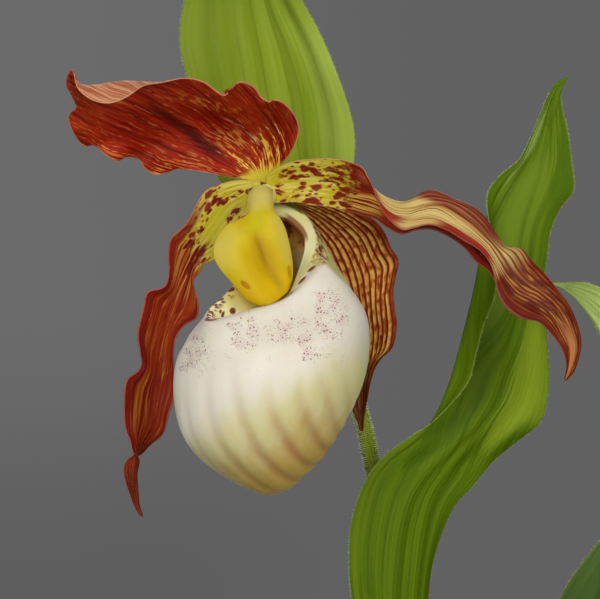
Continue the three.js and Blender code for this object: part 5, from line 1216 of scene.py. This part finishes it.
# Ovals on the upper leaf: place along and across, half width, half height and colour. The light one at 0.56
# along and 0.84 across is painted light, a pool of light on the blade; the others are darker and lighter
# greens.
TOP_TONES_AND_LIGHT = (
    (0.56, 0.84, 0.1, 0.17, rgb(140, 160, 36)), (0.8, 0.55, 0.08, 0.24, rgb(106, 130, 28)),
    (0.36, 0.1, 0.14, 0.14, rgb(104, 126, 16)), (0.455, 0.36, 0.05, 0.1, rgb(70, 98, 4)),
    (0.86, 0.9, 0.06, 0.12, rgb(74, 102, 8)), (0.9, 0.2, 0.05, 0.12, rgb(134, 156, 70)),
)
top_paint = leaf_paint("upper leaf", *LEAF_COLOURS, seed=1.0, sag=0.2, tones_and_light=TOP_TONES_AND_LIGHT)
place(blade("leaf_4_blade", top_leaf, LEAF_THICK, facing=-1), top_paint, "leaf", "leaf_4")
shoot_top = rail_grid(SHOOT_TOP_LEAF, 120, 80, ribbed(pleats(0.4, 0.4, 4), 24, 0.07))
pale_lit_through_paint = leaf_paint("pale shoot leaf lit through", *PALE_LIT_THROUGH_COLOURS, seed=2.0)
place(blade("shoot_leaf_4_blade", shoot_top, LEAF_THICK, facing=-1), pale_lit_through_paint, "leaf", "shoot_leaf_4")
SHOOT_COLOURS = (rgb(82, 110, 48), rgb(106, 134, 68), rgb(148, 172, 112))
LEAF_MATERIAL = leaf_paint("lower leaves", *LEAF_COLOURS, seed=3.0)
SHOOT_MATERIAL = leaf_paint("shoot leaves", *SHOOT_COLOURS, seed=4.0)

# Node, material, stem, height on it, azimuth, roll, sway, reach out and up, half widths, opening angles
LOWER_LEAVES = (
    ("leaf_1", LEAF_MATERIAL, MAIN_STEM, 150, 168, 8, -10,
     ((3.6, 0), (3.9, 18), (12, 46), (34, 82), (66, 108), (102, 118), (136, 112), (160, 96)),
     (9.4, 15, 29, 36, 37, 33, 24, 12, 0.7), (300, 190, 110, 84, 70, 60, 50, 40, 30)),
    ("leaf_2", LEAF_MATERIAL, MAIN_STEM, 198, -28, -6, 12,
     ((3.6, 0), (4, 18), (14, 44), (38, 76), (70, 98), (104, 106), (138, 98), (160, 82)),
     (9.4, 15, 30, 38, 40, 36, 26, 13, 0.7), (300, 185, 110, 84, 70, 60, 50, 40, 30)),
    ("leaf_3", LEAF_MATERIAL, MAIN_STEM, 248, 196, 6, 8,
     ((3.6, 0), (4.1, 14), (16, 34), (40, 58), (70, 74), (102, 78), (132, 68), (152, 50)),
     (9.4, 15, 28, 34, 35, 31, 23, 12, 0.7), (300, 190, 110, 82, 66, 56, 48, 40, 30)),
    ("shoot_leaf_1", SHOOT_MATERIAL, SECOND_STEM, 160, 62, -6, 8,
     ((3.5, 0), (3.9, 18), (13, 44), (34, 76), (64, 98), (96, 106), (124, 98), (144, 82)),
     (9.2, 13, 25, 31, 32, 29, 21, 11, 0.7), (300, 190, 110, 84, 70, 60, 50, 40, 30)),
    ("shoot_leaf_2", SHOOT_MATERIAL, SECOND_STEM, 231, -78, 6, 6,
     ((3.5, 0), (3.9, 20), (12, 50), (26, 86), (46, 120), (70, 147), (94, 161.5), (116, 164)),
     (9.2, 13, 25, 31, 32, 29, 21, 11, 0.7), (300, 185, 110, 80, 64, 56, 48, 40, 30)),
    ("shoot_leaf_3", SHOOT_MATERIAL, SECOND_STEM, 272, 28, 4, -6,
     ((3.5, 0), (3.9, 20), (12, 50), (28, 84), (52, 110), (80, 122), (106, 118), (124, 104)),
     (9.2, 12, 23, 29, 30, 27, 20, 10, 0.7), (300, 185, 110, 80, 64, 56, 48, 40, 30)),
)
leaf_grids = {}
for node, material, *form in LOWER_LEAVES:
    grid = rail_grid(leaf_rails(*form), 110, 70, ribbed(pleats(0.65, 2.2, 2.5), 20, 0.08))
    leaf_grids[node] = grid
    place(blade(node + "_blade", grid, LEAF_THICK), material, "leaf", node)

# Dry sheaths at the foot of the stems: stem, height on it and azimuth of each, and the form of both
SHEATHS = (("sheath_main", MAIN_STEM, 119.5, 20), ("sheath_second", SECOND_STEM, 118.5, 200))
SHEATH_FORM = (
    0, 0, ((4, 0), (4, 8), (4.1, 16), (4.9, 24), (6.8, 31)),
    (10.8, 10.8, 10.6, 9.8, 8.4, 6.4, 4.6, 2.6, 0.6), (310, 310, 300, 270, 220, 160, 120, 90, 60),
)
SHEATH_MATERIAL = sheath_paint()
for node, path, height, azimuth in SHEATHS:
    rails = leaf_rails(path, height, azimuth, *SHEATH_FORM)
    grid = rail_grid(rails, 60, 50, ribbed(lambda u, v: 0 * u, 16, 0.06))
    place(blade(node + "_husk", grid, LEAF_THICK), SHEATH_MATERIAL, "sheath", node)

# Pot and soil

def outside_at(z):
    return POT["foot"] + (POT["top"] - POT["foot"]) * z / POT["height"]


def inside_at(z):
    return outside_at(z) - POT["wall"]


def ring_at(radius, z, sides):
    a = np.linspace(0, 2 * np.pi, sides, endpoint=False)
    return np.stack([radius * np.cos(a), radius * np.sin(a), np.full(sides, float(z))], 1)


def make_pot(sides=192):
    top, rim, floor = POT["height"], POT["rim"], POT["floor"]
    shoulder = top - POT["rimHeight"]
    foot, mouth, waist = POT["foot"], inside_at(top), POT["waist"]
    profile = [
        (foot - 2, 0), (foot - 0.6, 0.5), (foot, 2), (outside_at(shoulder / 2), shoulder / 2),
        (outside_at(shoulder - 0.5), shoulder - 0.5), (rim - 2, shoulder), (rim - 1, shoulder + 0.5),
        (rim - 0.6, shoulder + 1.4), (rim + 0.6, top - 3), (rim + 0.3, top - 1.4), (rim - 0.6, top - 0.6),
        (rim - 3, top), (mouth + 2.2, top - 0.4), (mouth + 0.6, top - 1.4), (mouth, top - 3),
        (inside_at(waist), waist), (inside_at(floor + 3), floor + 3), (inside_at(floor) - 3, floor),
    ]
    rings = np.array([ring_at(r, z, sides) for r, z in profile])
    pot = lathe("pot_body", rings, [(0, 0, 0), (0, 0, floor)], np.linspace(0, 1, len(rings)))
    for k in range(DRAIN["count"]):
        angle = 2 * math.pi * (k + 0.25) / DRAIN["count"]
        at = (DRAIN["ring"] * math.cos(angle), DRAIN["ring"] * math.sin(angle))
        drill = [ring_at(DRAIN["radius"], z, DRAIN["sides"]) + (*at, 0) for z in (-floor, 2 * floor)]
        hole = lathe(f"drill_{k}", np.array(drill), [(*at, -floor), (*at, 2 * floor)], (0, 1))
        cut = pot.modifiers.new(hole.name, "BOOLEAN")
        cut.operation = "DIFFERENCE"
        cut.object = hole
        cut.solver = "EXACT"
        done = bpy.data.meshes.new_from_object(pot.evaluated_get(bpy.context.evaluated_depsgraph_get()))
        pot.modifiers.clear()
        pot.data = done
        bpy.data.objects.remove(hole)
    return pot


def soil_height(x, y):
    """The soil's top, in millimetres above the pot's foot."""
    edge = inside_at(SOIL["level"]) - SOIL["gap"]
    part = np.minimum(np.hypot(x, y) / edge, 1)
    bump = SOIL["lump"] * (np.sin(x * 0.23 + 1) * np.cos(y * 0.19) + 0.6 * np.sin(x * 0.41 - y * 0.37))
    return SOIL["level"] + SOIL["crown"] * (1 - part**2) + bump * np.minimum(1, (1 - part) * 6)


def make_soil(sides=240, rings=70):
    level, gap = SOIL["level"], SOIL["gap"]
    low = POT["floor"] + gap
    edge = inside_at(level) - gap
    waist = POT["waist"]
    rows = [ring_at(inside_at(low) - 3 - gap, low, sides), ring_at(inside_at(waist) - gap, waist, sides)]
    for part in np.linspace(1, 0.02, rings):
        ring = ring_at(edge * part, 0, sides)
        grain = rng.normal(0, 0.22, sides) * min(1, (1 - part) * 20)
        ring[:, 2] = soil_height(ring[:, 0], ring[:, 1]) + grain
        rows.append(ring)
    ends = [(0, 0, low), (0, 0, level + SOIL["crown"])]
    return lathe("soil_bed", np.array(rows), ends, np.linspace(0, 1, len(rows)))


def stones(name, places, sizes, flat):
    """Small rounded chips, each an uneven eight-cornered lump with its edges cut."""
    outline = ((1, 0.4), (0.4, 1), (-0.4, 1), (-1, 0.4), (-1, -0.4), (-0.4, -1), (0.4, -1), (1, -0.4))
    base = np.array([(x, y, z) for z in (-1, 1) for x, y in outline], float)
    base[:, 2] *= 0.55
    k = np.arange(8)
    side = np.stack([k, (k + 1) % 8, (k + 1) % 8 + 8, k + 8], 1)
    lower = [(3, 2, 1, 0), (7, 4, 3, 0), (7, 6, 5, 4)]
    upper = [(8, 9, 10, 11), (8, 11, 12, 15), (12, 13, 14, 15)]
    faces = np.concatenate([side, lower, upper])
    verts, quads = [], []
    for n, (p, s) in enumerate(zip(places, sizes)):
        turn = Matrix.Rotation(rng.uniform(0, 6.28), 3, "Z")
        spin = turn @ Matrix.Rotation(rng.uniform(-flat, flat), 3, "X")
        lump = base * rng.uniform(0.7, 1.15, (16, 1))
        lump = lump * (s, s * rng.uniform(0.5, 0.9), s * rng.uniform(0.4, 0.8))
        verts.append(lump @ np.array(spin).T + p)
        quads.append(faces + n * 16)
    return new_mesh(name, np.concatenate(verts), np.concatenate(quads), smooth_faces=False)


place(make_pot(), clay_paint(), "clay", "pot")
place(make_soil(), soil_paint(), "soil", "soil")


def on_soil(count, margin):
    """Places spread over the soil, up to a margin from the pot."""
    reach = (inside_at(SOIL["level"]) - margin) * np.sqrt(rng.uniform(0, 1, count))
    angle = rng.uniform(0, 2 * np.pi, count)
    x, y = reach * np.cos(angle), reach * np.sin(angle)
    return np.stack([x, y, soil_height(x, y)], 1)


# Name, count, distance from the pot's wall, lift, least and greatest size, tilt
STONES = (("bark_chips", 700, 5, 0.5, 1.4, 4.2, 0.5), ("grit", 900, 3, 0.3, 0.5, 1.3, 0.9))
for name, count, margin, lift, least, most, tilt in STONES:
    places = on_soil(count, margin) + (0, 0, lift)
    place(stones(name, places, rng.uniform(least, most, count), tilt), chip_paint(), "soil")

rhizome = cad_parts["rhizome"]
rhizome.data.materials.clear()
rhizome.data.materials.append(root_paint())

# Hairs along margins and on the stems

def margin_hairs(name, grid, count, length, spread=0.5):
    """Hairs along both margins of a blade, count on each."""
    rows = len(grid)
    roots, ways = [], []
    for edge, inner in ((0, 3), (-1, -4)):
        at = rng.uniform(0.04, 0.97, count) * (rows - 1)
        j = at.astype(int)
        f = (at - j)[:, None]
        roots.append(grid[j, edge] * (1 - f) + grid[np.minimum(j + 1, rows - 1), edge] * f)
        out = unit(grid[j, edge] - grid[j, inner])
        ways.append(out + rng.normal(0, spread, out.shape))
    lengths = rng.uniform(0.5, 1.0, 2 * count) * length
    return hairs(name, np.concatenate(roots), np.concatenate(ways), lengths, MARGIN_HAIR)


def stem_hairs(name, points, radius, count, length):
    """Down on a stem, denser towards the path's first end."""
    path = evenly(points, 600)
    tangent = unit(np.gradient(path, axis=0))
    j = (599 * rng.uniform(0, 1, count) ** 1.6).astype(int)
    way = rng.normal(0, 1, (count, 3))
    way = unit(way - tangent[j] * (way * tangent[j]).sum(1, keepdims=True))
    size = np.array([radius(k / 600) for k in j])[:, None]
    lengths = rng.uniform(0.4, 1, count) * length
    return hairs(name, path[j] + way * size * 0.97, way + rng.normal(0, 0.25, way.shape), lengths, DOWN_HAIR)


# Piece, its grid, hairs on each margin, their length and slot
MARGINS = [
    ("leaf_4", top_leaf, 1700, 0.65, "leaf"), ("shoot_leaf_4", shoot_top, 900, 0.65, "leaf"),
    ("bract", bract, 900, 0.7, "bract"),
]
MARGINS += [(name, grid, 700, 0.7, "leaf") for name, grid in leaf_grids.items()]
# Piece, its path and radius, number of hairs and their length
DOWN = (
    ("flower_stem", MAIN_STEM, downy_stem, 24000, 0.85), ("shoot_stem", SECOND_STEM, shoot_radius, 3600, 0.7),
    ("ovary", ovary_form, lambda u: 3.1, 1600, 0.7),
)
LEAF_HAIR = hair_paint("leaf hairs", rgb(134, 152, 74), rgb(172, 184, 116))
STEM_HAIR = hair_paint("stem hairs", rgb(220, 226, 168), rgb(246, 248, 214))
for name, grid, count, length, slot in MARGINS:
    place(margin_hairs(name + "_hairs", grid, count, length), LEAF_HAIR, slot)
for name, path, radius, count, length in DOWN:
    place(stem_hairs(name + "_hairs", path, radius, count, length), STEM_HAIR, "stem")

# Camera, lights, floor

CAMERA_AT = (-0.030, -1.825, 0.4314)
LENS = 432
SENSOR = 36
AIM = Vector((-0.02, -0.02, 0.42))
# Name, place, size, power and tint
LAMPS = (
    ("key", (-1.0, -1.9, 1.7), 1.3, 34, (1.0, 0.985, 0.96)),
    ("fill", (1.6, -2.7, 1.3), 1.8, 52, (0.98, 0.99, 1.0)),
    ("back", (0.4, 1.8, 1.8), 1.2, 14, (1, 1, 1)),
)

camera = bpy.data.objects.new("camera", bpy.data.cameras.new("camera"))
camera.location = CAMERA_AT
camera.rotation_euler = (math.radians(90), 0, 0)
camera.data.lens = LENS
camera.data.sensor_width = SENSOR
camera.data.clip_end = 100
scene.collection.objects.link(camera)
scene.camera = camera
scene.view_settings.view_transform = "Standard"


def soft_light(name, at, size, power, tint):
    """A round lamp that points at the plant."""
    light = bpy.data.lights.new(name, "AREA")
    light.shape = "DISK"
    light.size = size
    light.energy = power
    light.color = tint
    lamp = bpy.data.objects.new(name, light)
    lamp.location = at
    lamp.rotation_euler = (AIM - Vector(at)).to_track_quat("-Z", "Y").to_euler()
    lamp.visible_camera = False
    scene.collection.objects.link(lamp)


for lamp in LAMPS:
    soft_light(*lamp)

world = bpy.data.worlds.new("studio")
world.use_nodes = True
nodes = world.node_tree.nodes
way = nodes.new("ShaderNodeTexCoord")
right, _, up = parts(world.node_tree, way.outputs["Generated"])
# Painted shade on the backdrop: plain grey, darker towards the right and towards the lower left
darker = right.above(-0.035, 0.02) * 0.75 + up.below(-0.04, 0.0) * right.below(-0.03, 0.02)
backdrop = mix(world.node_tree, darker, rgb(107, 107, 107), rgb(94, 94, 95))
put(world.node_tree, nodes["Background"].inputs["Color"], backdrop)
scene.world = world


def make_floor(radius=4000, sides=96):
    rings = np.array([ring_at(radius * part, 0, sides) for part in (0.0005, 1.0)])
    rings[:, :, 2] = -0.2
    k = np.arange(sides)
    k2 = (k + 1) % sides
    quads = np.stack([k, k + sides, k2 + sides, k2], 1)
    floor = new_mesh("floor", rings.reshape(-1, 3), quads)
    p = Paint("floor", 0.9)
    x, y, z = p.place()
    dust = p.noise(x * 6, y * 6, z, detail=4)
    p.finish(p.mix(dust.above(0.3, 0.7), rgb(196, 196, 194), rgb(204, 204, 202)))
    away = (x * x + y * y).op("SQRT")
    p.shader.inputs["Specular IOR Level"].default_value = 0.1
    p.tree.links.new(away.below(2.2, 3.9).out, p.shader.inputs["Alpha"])
    floor.data.materials.append(p.material)
    return floor


make_floor()
